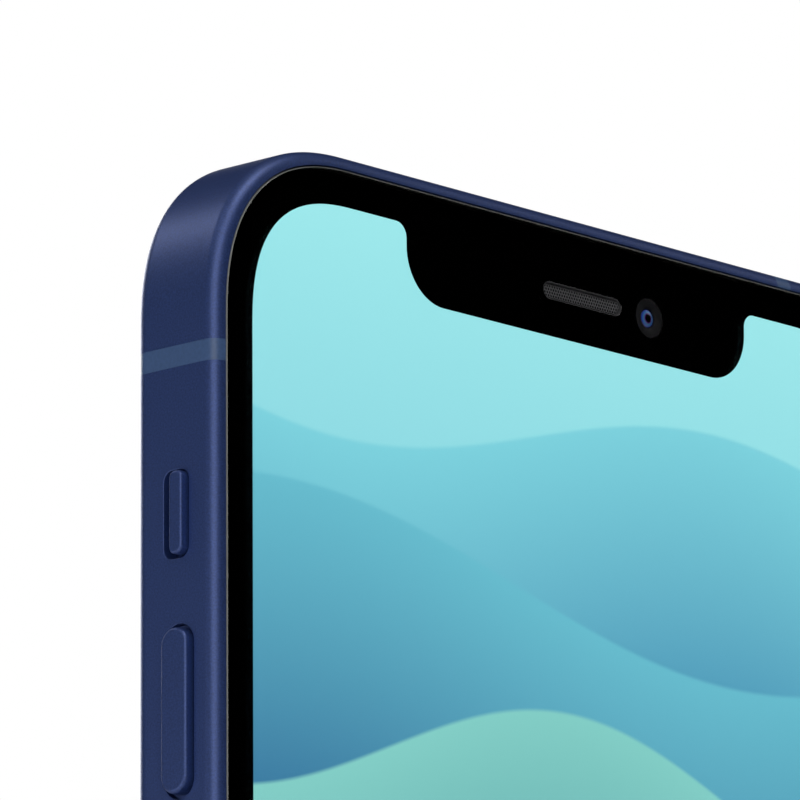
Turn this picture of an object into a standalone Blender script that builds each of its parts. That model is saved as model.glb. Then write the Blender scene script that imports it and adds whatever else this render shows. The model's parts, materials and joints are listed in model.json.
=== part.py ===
"""A flat-sided touchscreen smartphone, standing on its bottom edge.

The front glass faces -Y, the rear cameras face +Y, +Z runs up the long axis and +X is
the right-hand side seen from the front. Lengths are millimetres in phone coordinates:
x across the phone, d back from the front glass, z up from the bottom edge. world()
turns them into metres, with the origin under the middle of the whole object's box.
A length called u is a depth inwards from the outer side of the metal band.
"""

import math

import bmesh
import bpy
from mathutils import Vector

# Driving dimensions
MM = 0.001
WIDTH = 71.5
HEIGHT = 146.7
THICK = 7.4
LENS_PROUD = 1.5
BUTTON_PROUD = 0.6
CORNER = 12.74
CORNER_POWER = 2.33
FRONT_FILLET = 1.0
REAR_FILLET = 1.25
WALL = 2.1

# Gaps between neighbours
SEAM = 0.02
FIT = 0.05
SLIDING = 0.1

# Layers from front to back, as depths behind the front glass
GLASS = (0.0, 0.60)
MASK = (0.61, 0.64)
PANEL = (0.66, 0.90)
GASKET_FLANGE = (0.66, 1.16)
BACKPLATE = (0.96, 1.20)
LEDGE = 1.22
MID_PLATE = (6.05, 6.45)
REAR_LEDGE = 6.55
REAR_GLASS = (6.60, THICK)
PLATEAU_TOP = 8.0
BUMP_TOP = THICK + LENS_PROUD
MIDDLE = THICK / 2

# Front glass and display
GASKET_WIDTH = 0.14
GASKET_FOOT = 2.05
GLASS_INSET = FRONT_FILLET + GASKET_WIDTH + 2 * SEAM
DISPLAY_SIDE = 3.81
DISPLAY_END = 3.45
DISPLAY_CORNER = 9.8
DISPLAY_POWER = 2.6
NOTCH_HALF = 17.15
NOTCH_DEPTH = 8.60
NOTCH_OUTER_RADIUS = 1.0
NOTCH_INNER_RADIUS = 3.6
SENSOR_LINE = 141.15
EARPIECE_LENGTH = 7.9
EARPIECE_WIDTH = 1.2
FRONT_CAMERA_X = 7.24
FRONT_CAMERA_RING = 1.38

# Antenna breaks in the band: the middle of each insert along its side
INSERT_WIDTH = 1.43
SIDE_INSERT_TOP = 131.51
SIDE_INSERT_BOTTOM = HEIGHT - SIDE_INSERT_TOP
END_INSERT_X = 21.2

# Side controls
RING_SLOT = {"d": (2.38, 4.60), "z": (118.18, 124.00), "radius": 0.75}
RING_LEVER = {"d": (2.48, 3.63), "z": (118.35, 123.83), "radius": 0.5}
RING_TRAVEL = 0.87
POCKET_U = 1.15
VOLUME_SLOT_WIDTH = 2.56
VOLUME_MIDDLE = 3.21
VOLUME_LENGTH = 11.4
VOLUME_UP_Z = 108.16
VOLUME_PITCH = 14.3
SIDE_LENGTH = 17.6
SIDE_Z = 97.2
BUTTON_GAP = 0.14
BUTTON_END_GAP = 0.30
BUTTON_TRAVEL = 0.25
FLANGE_U = (2.2, 2.6)
SLOT_CHAMFER = 0.12

# SIM tray and its ejector
SIM_Z = 62.0
SIM_SLOT_LENGTH = 15.6
SIM_SLOT_WIDTH = 2.2
SIM_DEPTH = 13.6
SIM_TRAY_D = (3.3, 4.1)
SIM_TRAY_Z = (54.6, 67.5)
SIM_CARD = (12.3, 8.8, 0.67)
PIN_HOLE_Z = 68.65
PIN_HOLE_RADIUS = 0.42
EJECTOR_PIVOT = (15.9, 65.65)

# Bottom edge
PORT_WIDTH = 9.1
PORT_HEIGHT = 3.4
SCREW_X = 7.6
VENT_START = 11.6
VENT_PITCH = 2.15
VENT_RADIUS = 0.75
SPEAKER_VENTS = 6
MICROPHONE_VENTS = 4

# Rear cameras
PLATEAU_CENTRE = (18.6, 129.0)
PLATEAU_HALF = 14.2
PLATEAU_RADIUS = 7.0
LENS_X = 25.6
ULTRAWIDE_Z = 135.9
WIDE_Z = 122.1
LENS_TUBE = 5.5
FLASH = (11.4, 134.0, 2.6)
REAR_MICROPHONE = (11.4, 124.0, 0.6)
FOCUS_POCKET = 3.5

CORNER_STEPS = 12
FILLET_STEPS = 5
ROUND = 28
COIL_CENTRE_Z = 66.0

FRONT_Y = -BUMP_TOP / 2

# Look of each kind of material: colour, roughness, metallic
LOOKS = {
    "band_blue": ((0.012, 0.022, 0.075), 0.34, 0.6),
    "insert_blue": ((0.028, 0.045, 0.105), 0.5, 0.0),
    "clear_glass": ((0.02, 0.02, 0.022), 0.03, 0.0),
    "rear_blue": ((0.010, 0.020, 0.070), 0.1, 0.0),
    "border_black": ((0.002, 0.002, 0.002), 0.4, 0.0),
    "display": ((0.20, 0.62, 0.78), 0.2, 0.0),
    "gasket_grey": ((0.07, 0.075, 0.075), 0.6, 0.0),
    "dark_mesh": ((0.02, 0.02, 0.022), 0.5, 0.7),
    "steel": ((0.50, 0.51, 0.53), 0.3, 1.0),
    "aluminium": ((0.60, 0.61, 0.63), 0.4, 1.0),
    "copper": ((0.72, 0.38, 0.22), 0.35, 1.0),
    "board_green": ((0.010, 0.045, 0.030), 0.5, 0.0),
    "black_plastic": ((0.012, 0.012, 0.014), 0.5, 0.0),
    "battery_wrap": ((0.02, 0.02, 0.022), 0.55, 0.0),
    "lens_glass": ((0.010, 0.014, 0.030), 0.03, 0.0),
    "flash_white": ((0.85, 0.80, 0.60), 0.25, 0.0),
    "signal_orange": ((0.85, 0.18, 0.02), 0.5, 0.0),
    "card_white": ((0.75, 0.75, 0.72), 0.5, 0.0),
}


def clear_scene():
    """Removes every object, so the model starts from an empty scene."""
    for obj in list(bpy.data.objects):
        bpy.data.objects.remove(obj, do_unlink=True)


def look(kind, name):
    """A material for one node, in the colours of its kind."""
    colour, roughness, metallic = LOOKS[kind]
    material = bpy.data.materials.new(f"{kind}.{name}")
    material.use_nodes = True
    shader = material.node_tree.nodes["Principled BSDF"]
    shader.inputs["Base Color"].default_value = (*colour, 1.0)
    shader.inputs["Roughness"].default_value = roughness
    shader.inputs["Metallic"].default_value = metallic
    return material


def world(x, d, z):
    """Phone coordinates in millimetres to world metres."""
    return Vector((x, d + FRONT_Y, z)) * MM


# Outlines: closed lists of 2-D points


def arc_power(extent, power, steps):
    """A quarter of a superellipse, from (extent, 0) to (0, extent), with its normals."""
    points = []
    for i in range(steps + 1):
        angle = math.pi / 2 * i / steps
        a = math.cos(angle) ** (2 / power) if i < steps else 0.0
        b = math.sin(angle) ** (2 / power) if i > 0 else 0.0
        normal = Vector((a ** (power - 1), b ** (power - 1))).normalized()
        points.append((Vector((a, b)) * extent, normal))
    return points


def soft_rectangle(half, low, high, extent, power, inset=0.0):
    """A rectangle with continuous-curvature corners, as stations (x, z, normal x, normal z).

    It starts at the right side above the lower right corner and runs up, anticlockwise
    seen from the front. A positive inset moves every station inwards along its normal.
    """
    quarter = arc_power(extent, power, CORNER_STEPS)
    stations = []
    corners = ((1, 1), (-1, 1), (-1, -1), (1, -1))
    for sign_x, sign_z in corners:
        run = quarter if sign_x * sign_z > 0 else list(reversed(quarter))
        centre_x = sign_x * (half - extent)
        centre_z = high - extent if sign_z > 0 else low + extent
        for point, normal in run:
            nx, nz = sign_x * normal.x, sign_z * normal.y
            x = centre_x + sign_x * point.x - nx * inset
            z = centre_z + sign_z * point.y - nz * inset
            stations.append((x, z, nx, nz))
    return stations


def body_stations(inset=0.0):
    """The phone's outer outline, moved inwards by inset."""
    return soft_rectangle(WIDTH / 2, 0.0, HEIGHT, CORNER, CORNER_POWER, inset)


def body_loop(inset):
    """The points of the body outline at one inset."""
    return [(x, z) for x, z, _, _ in body_stations(inset)]


def rounded_rectangle(x0, x1, z0, z1, radius, steps=3):
    """A rectangle with circular corners."""
    loop = []
    corners = ((x1, z1, 0), (x0, z1, 1), (x0, z0, 2), (x1, z0, 3))
    for x, z, turn in corners:
        cx = x - radius if x == x1 else x + radius
        cz = z - radius if z == z1 else z + radius
        for i in range(steps + 1):
            angle = math.pi / 2 * (turn + i / steps)
            loop.append((cx + radius * math.cos(angle), cz + radius * math.sin(angle)))
    return loop


def stadium(width, length, steps=8):
    """A slot outline, centred on 0, its length along the second coordinate."""
    radius = width / 2
    straight = length / 2 - radius
    loop = []
    for end in (0, 1):
        for i in range(steps + 1):
            angle = math.pi * (end + i / steps)
            shift = straight if end == 0 else -straight
            loop.append((radius * math.cos(angle), shift + radius * math.sin(angle)))
    return loop


def circle(radius, segments=ROUND):
    """A circle centred on 0."""
    turns = [2 * math.pi * i / segments for i in range(segments)]
    return [(radius * math.cos(a), radius * math.sin(a)) for a in turns]


def display_loop(margin=0.0):
    """The lit area with its notch. A positive margin makes the shape larger all round."""
    half = WIDTH / 2 - DISPLAY_SIDE + margin
    low = DISPLAY_END - margin
    high = HEIGHT - DISPLAY_END + margin
    stations = soft_rectangle(half, low, high, DISPLAY_CORNER, DISPLAY_POWER)
    points = [(x, z) for x, z, _, _ in stations]
    corner = CORNER_STEPS + 1
    side = NOTCH_HALF - margin
    floor = HEIGHT - NOTCH_DEPTH + margin
    outer = NOTCH_OUTER_RADIUS
    inner = NOTCH_INNER_RADIUS - margin
    right = []
    for i in range(5):
        angle = math.pi / 2 + math.pi / 2 * i / 4
        x = side + outer + outer * math.cos(angle)
        right.append((x, high - outer + outer * math.sin(angle)))
    for i in range(9):
        angle = -math.pi / 2 * i / 8
        x = side - inner + inner * math.cos(angle)
        right.append((x, floor + inner + inner * math.sin(angle)))
    left = [(-x, z) for x, z in reversed(right)]
    return points[:corner] + right + left + points[corner:]


# Solids


def build(name, rings, kind, closed=False, pivot=(0.0, -FRONT_Y, 0.0)):
    """One closed solid through rings of equal length, each a list of phone coordinates.

    An open run of rings is capped at both ends, and a closed one joins its last ring to
    its first. The object's origin is at pivot.
    """
    origin = world(*pivot)
    count = len(rings[0])
    points = [world(*point) - origin for ring in rings for point in ring]
    spans = len(rings) if closed else len(rings) - 1
    faces = []
    for span in range(spans):
        here = span * count
        there = (span + 1) % len(rings) * count
        for i in range(count):
            j = (i + 1) % count
            faces.append((here + i, here + j, there + j, there + i))
    if not closed:
        faces.append(tuple(range(count)))
        faces.append(tuple(range(len(points) - count, len(points))))
    mesh = bpy.data.meshes.new(name)
    mesh.from_pydata(points, [], faces)
    shell = bmesh.new()
    shell.from_mesh(mesh)
    bmesh.ops.recalc_face_normals(shell, faces=shell.faces)
    shell.to_mesh(mesh)
    shell.free()
    mesh.shade_smooth()
    mesh.set_sharp_from_angle(angle=math.radians(32))
    obj = bpy.data.objects.new(name, mesh)
    obj.location = origin
    bpy.context.scene.collection.objects.link(obj)
    mesh.materials.append(look(kind, name))
    return obj


def slab(name, loop, depths, kind, **options):
    """A flat piece with an outline in x and z, between two depths."""
    rings = [[(x, d, z) for x, z in loop] for d in depths]
    return build(name, rings, kind, **options)


def turned(name, centre, profile, kind, closed=False, axis="d", segments=ROUND, **options):
    """A turned piece: profile holds (radius, position along the axis)."""
    cx, cz = centre
    rings = []
    for radius, along in profile:
        points = circle(radius, segments)
        if axis == "d":
            rings.append([(cx + a, along, cz + b) for a, b in points])
        elif axis == "z":
            rings.append([(cx + a, cz + b, along) for a, b in points])
        else:
            rings.append([(along, cx + a, cz + b) for a, b in points])
    return build(name, rings, kind, closed=closed, **options)


def block(name, xs, ds, zs, kind, radius=0.0, **options):
    """A box between two corners, with its upright edges along d rounded."""
    if radius:
        loop = rounded_rectangle(xs[0], xs[1], zs[0], zs[1], radius)
    else:
        loop = [(xs[1], zs[0]), (xs[1], zs[1]), (xs[0], zs[1]), (xs[0], zs[0])]
    return slab(name, loop, ds, kind, **options)


def helper(obj):
    """Marks an object as a tool for Booleans, which is no part of the phone."""
    obj.hide_render = True
    obj.display_type = "WIRE"
    return obj


def combine(obj, tool, operation):
    """Adds one exact Boolean to an object."""
    step = obj.modifiers.new(f"{operation.lower()}_{tool.name}", "BOOLEAN")
    step.operation = operation
    step.solver = "EXACT"
    step.object = helper(tool)


def cut(obj, *tools):
    """Cuts each tool out of an object."""
    for tool in tools:
        combine(obj, tool, "DIFFERENCE")


def add(obj, *tools):
    """Fuses each tool onto an object."""
    for tool in tools:
        combine(obj, tool, "UNION")


# Metal band


def band_section():
    """The band's cross-section as (u, d): rounded outside, with a ledge for each glass."""
    section = []
    for i in range(FILLET_STEPS + 1):
        angle = math.pi / 2 * i / FILLET_STEPS
        u = FRONT_FILLET * (1 - math.cos(angle))
        section.append((u, FRONT_FILLET * (1 - math.sin(angle))))
    section += [
        (FRONT_FILLET, LEDGE), (WALL, LEDGE), (WALL, REAR_LEDGE), (REAR_FILLET, REAR_LEDGE)
    ]
    for i in range(FILLET_STEPS + 1):
        angle = math.pi / 2 * (1 - i / FILLET_STEPS)
        u = REAR_FILLET * (1 - math.cos(angle))
        section.append((u, THICK - REAR_FILLET * (1 - math.sin(angle))))
    return section


def swept(name, stations, section, kind, closed=False):
    """A section carried along outline stations."""
    rings = []
    for x, z, nx, nz in stations:
        rings.append([(x - nx * u, d, z - nz * u) for u, d in section])
    return build(name, rings, kind, closed=closed)


def corner_run(sign_x, sign_z):
    """The stations of one corner, from the upright side to the flat end."""
    steps = CORNER_STEPS + 1
    order = ((1, 1), (-1, 1), (-1, -1), (1, -1))
    start = order.index((sign_x, sign_z)) * steps
    run = body_stations()[start : start + steps]
    return run if sign_x * sign_z > 0 else list(reversed(run))


def side_station(sign_x, z):
    return (sign_x * WIDTH / 2, z, sign_x, 0.0)


def end_station(x, sign_z):
    return (x, HEIGHT if sign_z > 0 else 0.0, 0.0, sign_z)


def band():
    """Six metal lengths, and the six plastic inserts that part them as antennas."""
    section = band_section()
    half = INSERT_WIDTH / 2
    low, high = SIDE_INSERT_BOTTOM + half, SIDE_INSERT_TOP - half
    sides = {}
    for side, sign in (("left", -1), ("right", 1)):
        stations = [side_station(sign, low), side_station(sign, high)]
        sides[side] = swept(f"band_{side}", stations, section, "band_blue")
        for end, up in (("top", 1), ("bottom", -1)):
            start = side_station(sign, SIDE_INSERT_TOP + half if up > 0 else low - 2 * half)
            break_x = up * END_INSERT_X
            last = end_station(break_x + sign * half, up)
            stations = [start, *corner_run(sign, up), last]
            name = f"band_{end}_{side}"
            sides[name] = swept(name, stations, section, "band_blue")
    grip = half - SEAM
    for side, sign in (("left", -1), ("right", 1)):
        for end, z in (("top", SIDE_INSERT_TOP), ("bottom", SIDE_INSERT_BOTTOM)):
            stations = [side_station(sign, z - grip), side_station(sign, z + grip)]
            swept(f"antenna_insert_{side}_{end}", stations, section, "insert_blue")
    for end, up in (("top", 1), ("bottom", -1)):
        x = up * END_INSERT_X
        stations = [end_station(x - grip, up), end_station(x + grip, up)]
        swept(f"antenna_insert_{end}", stations, section, "insert_blue")
    return sides


def side_x(sign, u):
    """x at a depth u inwards from the left (-1) or right (1) side."""
    return sign * (WIDTH / 2 - u)


def side_prism(name, sign, loops, kind="black_plastic", pivot=None):
    """A solid through (loop, u) pairs, each loop (d, z), stacked inwards from a side."""
    rings = [[(side_x(sign, u), d, z) for d, z in loop] for loop, u in loops]
    options = {"pivot": pivot} if pivot else {}
    return build(name, rings, kind, **options)


def moved(loop, d, z):
    return [(a + d, b + z) for a, b in loop]


def slot_cutter(name, sign, d, z, width, length, radius=None):
    """A slot through the band wall, with a small chamfer at its mouth.

    Its ends are half round, or its corners have a radius where one is given.
    """
    loops = []
    for grow in (2 * SLOT_CHAMFER, 0.0):
        w, h = width + grow, length + grow
        if radius:
            r = radius + grow / 2
            loops.append(rounded_rectangle(d - w / 2, d + w / 2, z - h / 2, z + h / 2, r, 5))
        else:
            loops.append(moved(stadium(w, h), d, z))
    mouth, throat = loops
    return side_prism(
        name, sign, [(mouth, -0.2), (mouth, 0.0), (throat, SLOT_CHAMFER), (throat, 3.0)]
    )


def push_button(name, sign, z, length):
    """A filleted cap in its slot, held from inside by a wider flange."""
    width = VOLUME_SLOT_WIDTH - 2 * BUTTON_GAP
    reach = length - 2 * BUTTON_END_GAP
    flange = moved(stadium(width + 1.0, reach + 1.4), VOLUME_MIDDLE, z)
    loops = [(flange, FLANGE_U[1]), (flange, FLANGE_U[0])]
    fillet = 0.25
    loops.append((moved(stadium(width, reach), VOLUME_MIDDLE, z), FLANGE_U[0]))
    for i in range(4):
        angle = math.pi / 2 * i / 3
        shrink = 2 * fillet * (1 - math.cos(angle))
        u = -BUTTON_PROUD + fillet * (1 - math.sin(angle))
        outline = moved(stadium(width - shrink, reach - shrink), VOLUME_MIDDLE, z)
        loops.append((outline, u))
    pivot = (side_x(sign, 0.0), VOLUME_MIDDLE, z)
    return side_prism(name, sign, loops, "band_blue", pivot)


def switch_strip(name, sign, heights, span):
    """A bracket behind the buttons with one raised dome contact for each."""
    xs = sorted((side_x(sign, 3.25), side_x(sign, 3.6)))
    strip = block(name, xs, (1.9, 4.6), span, "black_plastic")
    for i, z in enumerate(heights):
        tip = FLANGE_U[1] + BUTTON_TRAVEL + FIT
        profile = [(0.9, side_x(sign, 3.4)), (0.9, side_x(sign, 3.1)), (0.5, side_x(sign, tip))]
        dome = turned(f"tool_{name}_{i}", (VOLUME_MIDDLE, z), profile, "steel", axis="x", segments=10)
        add(strip, dome)


def side_controls(left, right):
    """The ring switch, the volume buttons and the side button, with what they press."""
    volume = (VOLUME_UP_Z, VOLUME_UP_Z - VOLUME_PITCH)
    for name, z in zip(("volume_up", "volume_down"), volume):
        tool = slot_cutter(
            f"tool_{name}_slot", -1, VOLUME_MIDDLE, z, VOLUME_SLOT_WIDTH, VOLUME_LENGTH
        )
        cut(left, tool)
        push_button(f"{name}_button", -1, z, VOLUME_LENGTH)
    tool = slot_cutter("tool_side_slot", 1, VOLUME_MIDDLE, SIDE_Z, VOLUME_SLOT_WIDTH, SIDE_LENGTH)
    cut(right, tool)
    push_button("side_button", 1, SIDE_Z, SIDE_LENGTH)
    switch_strip("volume_switches", -1, volume, (volume[1] - 5.0, volume[0] + 5.0))
    switch_strip("side_switch", 1, (SIDE_Z,), (SIDE_Z - 6.0, SIDE_Z + 6.0))
    ring_switch(left)


def ring_switch(left):
    """A lever that slides front to back in its slot, on a plate that closes the slot."""
    d0, d1 = RING_SLOT["d"]
    z0, z1 = RING_SLOT["z"]
    z = (z0 + z1) / 2
    size = (d1 - d0, z1 - z0, RING_SLOT["radius"])
    cut(left, slot_cutter("tool_ring_slot", -1, (d0 + d1) / 2, z, *size))
    pocket = rounded_rectangle(1.40, 5.95, z0 - 1.6, z1 + 1.6, 0.4)
    cut(left, side_prism("tool_ring_pocket", -1, [(pocket, POCKET_U), (pocket, 3.0)]))
    lever_d, lever_z = RING_LEVER["d"], RING_LEVER["z"]
    plate = rounded_rectangle(1.50, 4.95, z0 - 1.3, z1 + 1.3, 0.3)
    corner = RING_LEVER["radius"]
    head = rounded_rectangle(*lever_d, *lever_z, corner)
    loops = [(plate, POCKET_U + 0.55), (plate, POCKET_U + SLIDING), (head, POCKET_U + SLIDING)]
    fillet = 0.2
    for i in range(4):
        angle = math.pi / 2 * i / 3
        shrink = fillet * (1 - math.cos(angle))
        u = -BUTTON_PROUD + fillet * (1 - math.sin(angle))
        outline = rounded_rectangle(
            lever_d[0] + shrink, lever_d[1] - shrink,
            lever_z[0] + shrink, lever_z[1] - shrink, corner - shrink,
        )
        loops.append((outline, u))
    pivot = (side_x(-1, 0.0), sum(lever_d) / 2, z)
    side_prism("ring_switch", -1, loops, "band_blue", pivot)
    mark = rounded_rectangle(d0 - RING_TRAVEL + 0.15, lever_d[0] - 0.05, z0 + 0.4, z1 - 0.4, 0.2)
    depths = [(mark, POCKET_U + SLIDING - 0.01), (mark, POCKET_U + 0.04)]
    side_prism("silent_marker", -1, depths, "signal_orange", pivot)
    box_u = sorted((side_x(-1, 2.3), side_x(-1, 4.0)))
    block("ring_switch_module", box_u, (1.7, 5.7), (z0 - 1.0, z1 + 1.0), "black_plastic")


# SIM tray


def sim_parts(left):
    """The tray with its card, the reader that takes it and the lever that ejects it."""
    cut(left, slot_cutter("tool_sim_slot", -1, MIDDLE, SIM_Z, SIM_SLOT_WIDTH, SIM_SLOT_LENGTH))
    face = moved(
        stadium(SIM_SLOT_WIDTH - 2 * SLIDING, SIM_SLOT_LENGTH - 2 * SLIDING), MIDDLE, SIM_Z
    )
    pivot = (side_x(-1, 0.0), MIDDLE, SIM_Z)
    tray = side_prism("sim_tray", -1, [(face, 0.0), (face, 1.6)], "band_blue", pivot)
    frame_x = (side_x(-1, 1.4), side_x(-1, SIM_DEPTH))
    add(tray, block("tool_sim_frame", frame_x, SIM_TRAY_D, SIM_TRAY_Z, "band_blue"))
    long, short, thick = SIM_CARD
    card_x = side_x(-1, 3.3)
    card_z = sum(SIM_TRAY_Z) / 2 - long / 2
    pocket = block(
        "tool_sim_pocket", (card_x - FIT, card_x + short + FIT), (3.0, 4.4),
        (card_z - FIT, card_z + long + FIT), "card_white",
    )
    hole = turned(
        "tool_pin_hole", (MIDDLE, PIN_HOLE_Z),
        [(PIN_HOLE_RADIUS, side_x(-1, -0.2)), (PIN_HOLE_RADIUS, side_x(-1, 2.0))],
        "steel", axis="x", segments=12,
    )
    cut(tray, pocket, hole)
    card_d = (SIM_TRAY_D[1] - FIT - thick, SIM_TRAY_D[1] - FIT)
    block(
        "sim_card", (card_x, card_x + short), card_d, (card_z, card_z + long),
        "card_white", pivot=pivot,
    )
    lever_u, lever_z = EJECTOR_PIVOT
    lever_x = side_x(-1, lever_u)
    reader = block(
        "sim_reader", (side_x(-1, 4.0), lever_x + 1.2), (4.2, 4.5), (53.6, 69.8), "steel"
    )
    rail = block("tool_reader_rail", (side_x(-1, 4.0), side_x(-1, 13.0)), (3.2, 4.3), (53.6, 54.3), "steel")
    post = turned("tool_reader_post", (lever_x, lever_z), [(0.42, 3.4), (0.42, 4.35)], "steel", segments=12)
    add(reader, rail, post)
    turned(
        "sim_ejector_plunger", (MIDDLE, PIN_HOLE_Z),
        [(0.32, side_x(-1, 2.2)), (0.45, side_x(-1, 2.6)), (0.45, side_x(-1, 14.8))],
        "steel", axis="x", segments=12, pivot=(side_x(-1, 2.2), MIDDLE, PIN_HOLE_Z),
    )
    lever = block(
        "sim_ejector_lever", (lever_x - 0.8, lever_x + 0.8), SIM_TRAY_D,
        (lever_z - 3.65, lever_z + 3.65), "steel", radius=0.4, pivot=(lever_x, MIDDLE, lever_z),
    )
    bore = turned("tool_lever_bore", (lever_x, lever_z), [(0.5, 3.0), (0.5, 4.4)], "steel", segments=12)
    cut(lever, bore)


# Front


def front_stack():
    """Glass, its gasket, the black border, the panel and the plate that backs it."""
    gasket_outer = FRONT_FILLET + SEAM
    gasket_inner = gasket_outer + GASKET_WIDTH
    section = [
        (gasket_outer, 0.02), (gasket_inner, 0.02), (gasket_inner, GASKET_FLANGE[0]),
        (GASKET_FOOT, GASKET_FLANGE[0]), (GASKET_FOOT, GASKET_FLANGE[1]),
        (gasket_outer, GASKET_FLANGE[1]),
    ]
    swept("front_gasket", body_stations(), section, "gasket_grey", closed=True)
    earpiece = [(z, x) for x, z in stadium(EARPIECE_WIDTH, EARPIECE_LENGTH)]
    earpiece = [(x, z + SENSOR_LINE) for x, z in earpiece]
    glass = slab("front_glass", body_loop(GLASS_INSET), GLASS, "clear_glass")
    mask = slab("display_mask", body_loop(GLASS_INSET + FIT), MASK, "border_black")
    plate = slab("display_backplate", body_loop(GASKET_FOOT + 0.2), BACKPLATE, "steel")
    slot = slab("tool_earpiece_slot", earpiece, (-0.5, 1.5), "border_black")
    window = slab("tool_display_window", display_loop(), (0.3, 0.8), "border_black")
    camera = (FRONT_CAMERA_X, SENSOR_LINE)
    eye = turned("tool_camera_window", camera, [(1.46, 0.605), (1.46, 1.5)], "border_black", segments=20)
    cut(glass, slot)
    cut(mask, slot, window, eye)
    cut(plate, slot, eye)
    slab("oled_panel", display_loop(0.3), PANEL, "display")
    mesh = [(z, x) for x, z in stadium(EARPIECE_WIDTH - 0.1, EARPIECE_LENGTH - 0.1)]
    mesh = [(x, z + SENSOR_LINE) for x, z in mesh]
    slab("earpiece_mesh", mesh, (0.34, 0.50), "dark_mesh")
    barrel = [
        (1.9, 4.0), (1.9, 1.3), (FRONT_CAMERA_RING, 1.3), (FRONT_CAMERA_RING, 0.66),
        (0.95, 0.66), (0.70, 0.95), (0.68, 1.7),
    ]
    turned("front_camera", camera, barrel, "black_plastic", segments=20)
    lens = [(0.62, 1.6), (0.62, 1.25), (0.45, 1.08), (0.2, 1.0)]
    turned("front_camera_lens", camera, lens, "lens_glass", segments=16)
    block("earpiece_speaker", (-6.2, 4.8), (1.35, 4.2), (136.6, 143.9), "black_plastic", 0.6)


# Rear


def plateau_loop(gap=0.0):
    cx, cz = PLATEAU_CENTRE
    half = PLATEAU_HALF - gap
    return rounded_rectangle(cx - half, cx + half, cz - half, cz + half, PLATEAU_RADIUS - gap, 6)


def rear_camera(name, z, focusing):
    """One rear camera: its trim ring, cover glass, housing and barrel."""
    centre = (LENS_X, z)
    tube = LENS_TUBE
    ring = [
        (tube - 0.5, 6.70), (tube, 6.70), (tube, PLATEAU_TOP + SEAM), (tube + 0.8, PLATEAU_TOP + SEAM),
        (tube + 0.8, BUMP_TOP - 0.25), (tube + 0.55, BUMP_TOP), (tube - 0.25, BUMP_TOP),
        (tube - 0.5, BUMP_TOP - 0.2),
    ]
    turned(f"{name}_lens_ring", centre, ring, "band_blue", closed=True)
    cover = tube - 0.5 - FIT
    turned(f"{name}_lens_cover", centre, [(cover, 8.4), (cover, 8.65)], "lens_glass")
    half = 5.4
    xs, zs = (LENS_X - half, LENS_X + half), (z - half, z + half)
    housing = block(f"{name}_camera", xs, (1.7, 5.4), zs, "black_plastic", 0.8)
    barrel = [(4.2, FOCUS_POCKET + 0.2), (4.2, 7.9), (3.9, 8.1), (2.2, 8.1), (1.9, 7.6)]
    if focusing:
        pocket = [(4.3, FOCUS_POCKET), (4.3, 6.0)]
        cut(housing, turned(f"tool_{name}_pocket", centre, pocket, "black_plastic", segments=24))
        turned(
            f"{name}_lens_barrel", centre, barrel, "black_plastic", segments=24,
            pivot=(LENS_X, FOCUS_POCKET, z),
        )
    else:
        add(housing, turned(f"tool_{name}_barrel", centre, barrel, "black_plastic", segments=24))


def rear_stack():
    """Rear glass with the camera plateau set in it, over the mid plate and the coil."""
    glass = slab("rear_glass", body_loop(REAR_FILLET + SEAM), REAR_GLASS, "rear_blue")
    cut(glass, slab("tool_plateau_hole", plateau_loop(), (6.0, 8.5), "rear_blue"))
    plateau = slab(
        "camera_plateau", plateau_loop(FIT), (REAR_GLASS[0], PLATEAU_TOP), "rear_blue"
    )
    for name, z in (("ultrawide", ULTRAWIDE_Z), ("wide", WIDE_Z)):
        hole = [(LENS_TUBE + FIT, 6.0), (LENS_TUBE + FIT, 9.0)]
        cut(plateau, turned(f"tool_{name}_hole", (LENS_X, z), hole, "rear_blue"))
    rear_camera("ultrawide", ULTRAWIDE_Z, False)
    rear_camera("wide", WIDE_Z, True)
    for name, (x, z, radius), kind in (
        ("flash_window", FLASH, "flash_white"),
        ("rear_microphone", REAR_MICROPHONE, "dark_mesh"),
    ):
        hole = [(radius + FIT, 6.0), (radius + FIT, 9.0)]
        cut(plateau, turned(f"tool_{name}", (x, z), hole, "rear_blue", segments=20))
        turned(name, (x, z), [(radius, 7.0), (radius, PLATEAU_TOP - 0.04)], kind, segments=20)
    plate = slab("mid_plate", body_loop(WALL + SLIDING), MID_PLATE, "aluminium")
    cx, cz = PLATEAU_CENTRE
    opening = rounded_rectangle(cx - 13.2, LENS_X + 6.0, cz - 13.0, cz + 13.0, 2.0)
    cut(plate, slab("tool_plate_opening", opening, (5.5, 7.0), "aluminium"))
    hole = [(22.6, 5.5), (22.6, 7.0)]
    cut(plate, turned("tool_coil_hole", (0.0, COIL_CENTRE_Z), hole, "aluminium", segments=40))
    coil = [(13.0, 6.0), (22.2, 6.0), (22.2, 6.5), (13.0, 6.5)]
    turned("charging_coil", (0.0, COIL_CENTRE_Z), coil, "copper", closed=True, segments=40)


# Bottom edge


def port_loop(width, height):
    return [(x, MIDDLE + d) for d, x in stadium(height, width, 6)]


def upright(name, levels, kind):
    """A solid through (loop, z) pairs, each loop (x, d), stacked upwards."""
    rings = [[(x, d, z) for x, d in loop] for loop, z in levels]
    return build(name, rings, kind)


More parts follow.
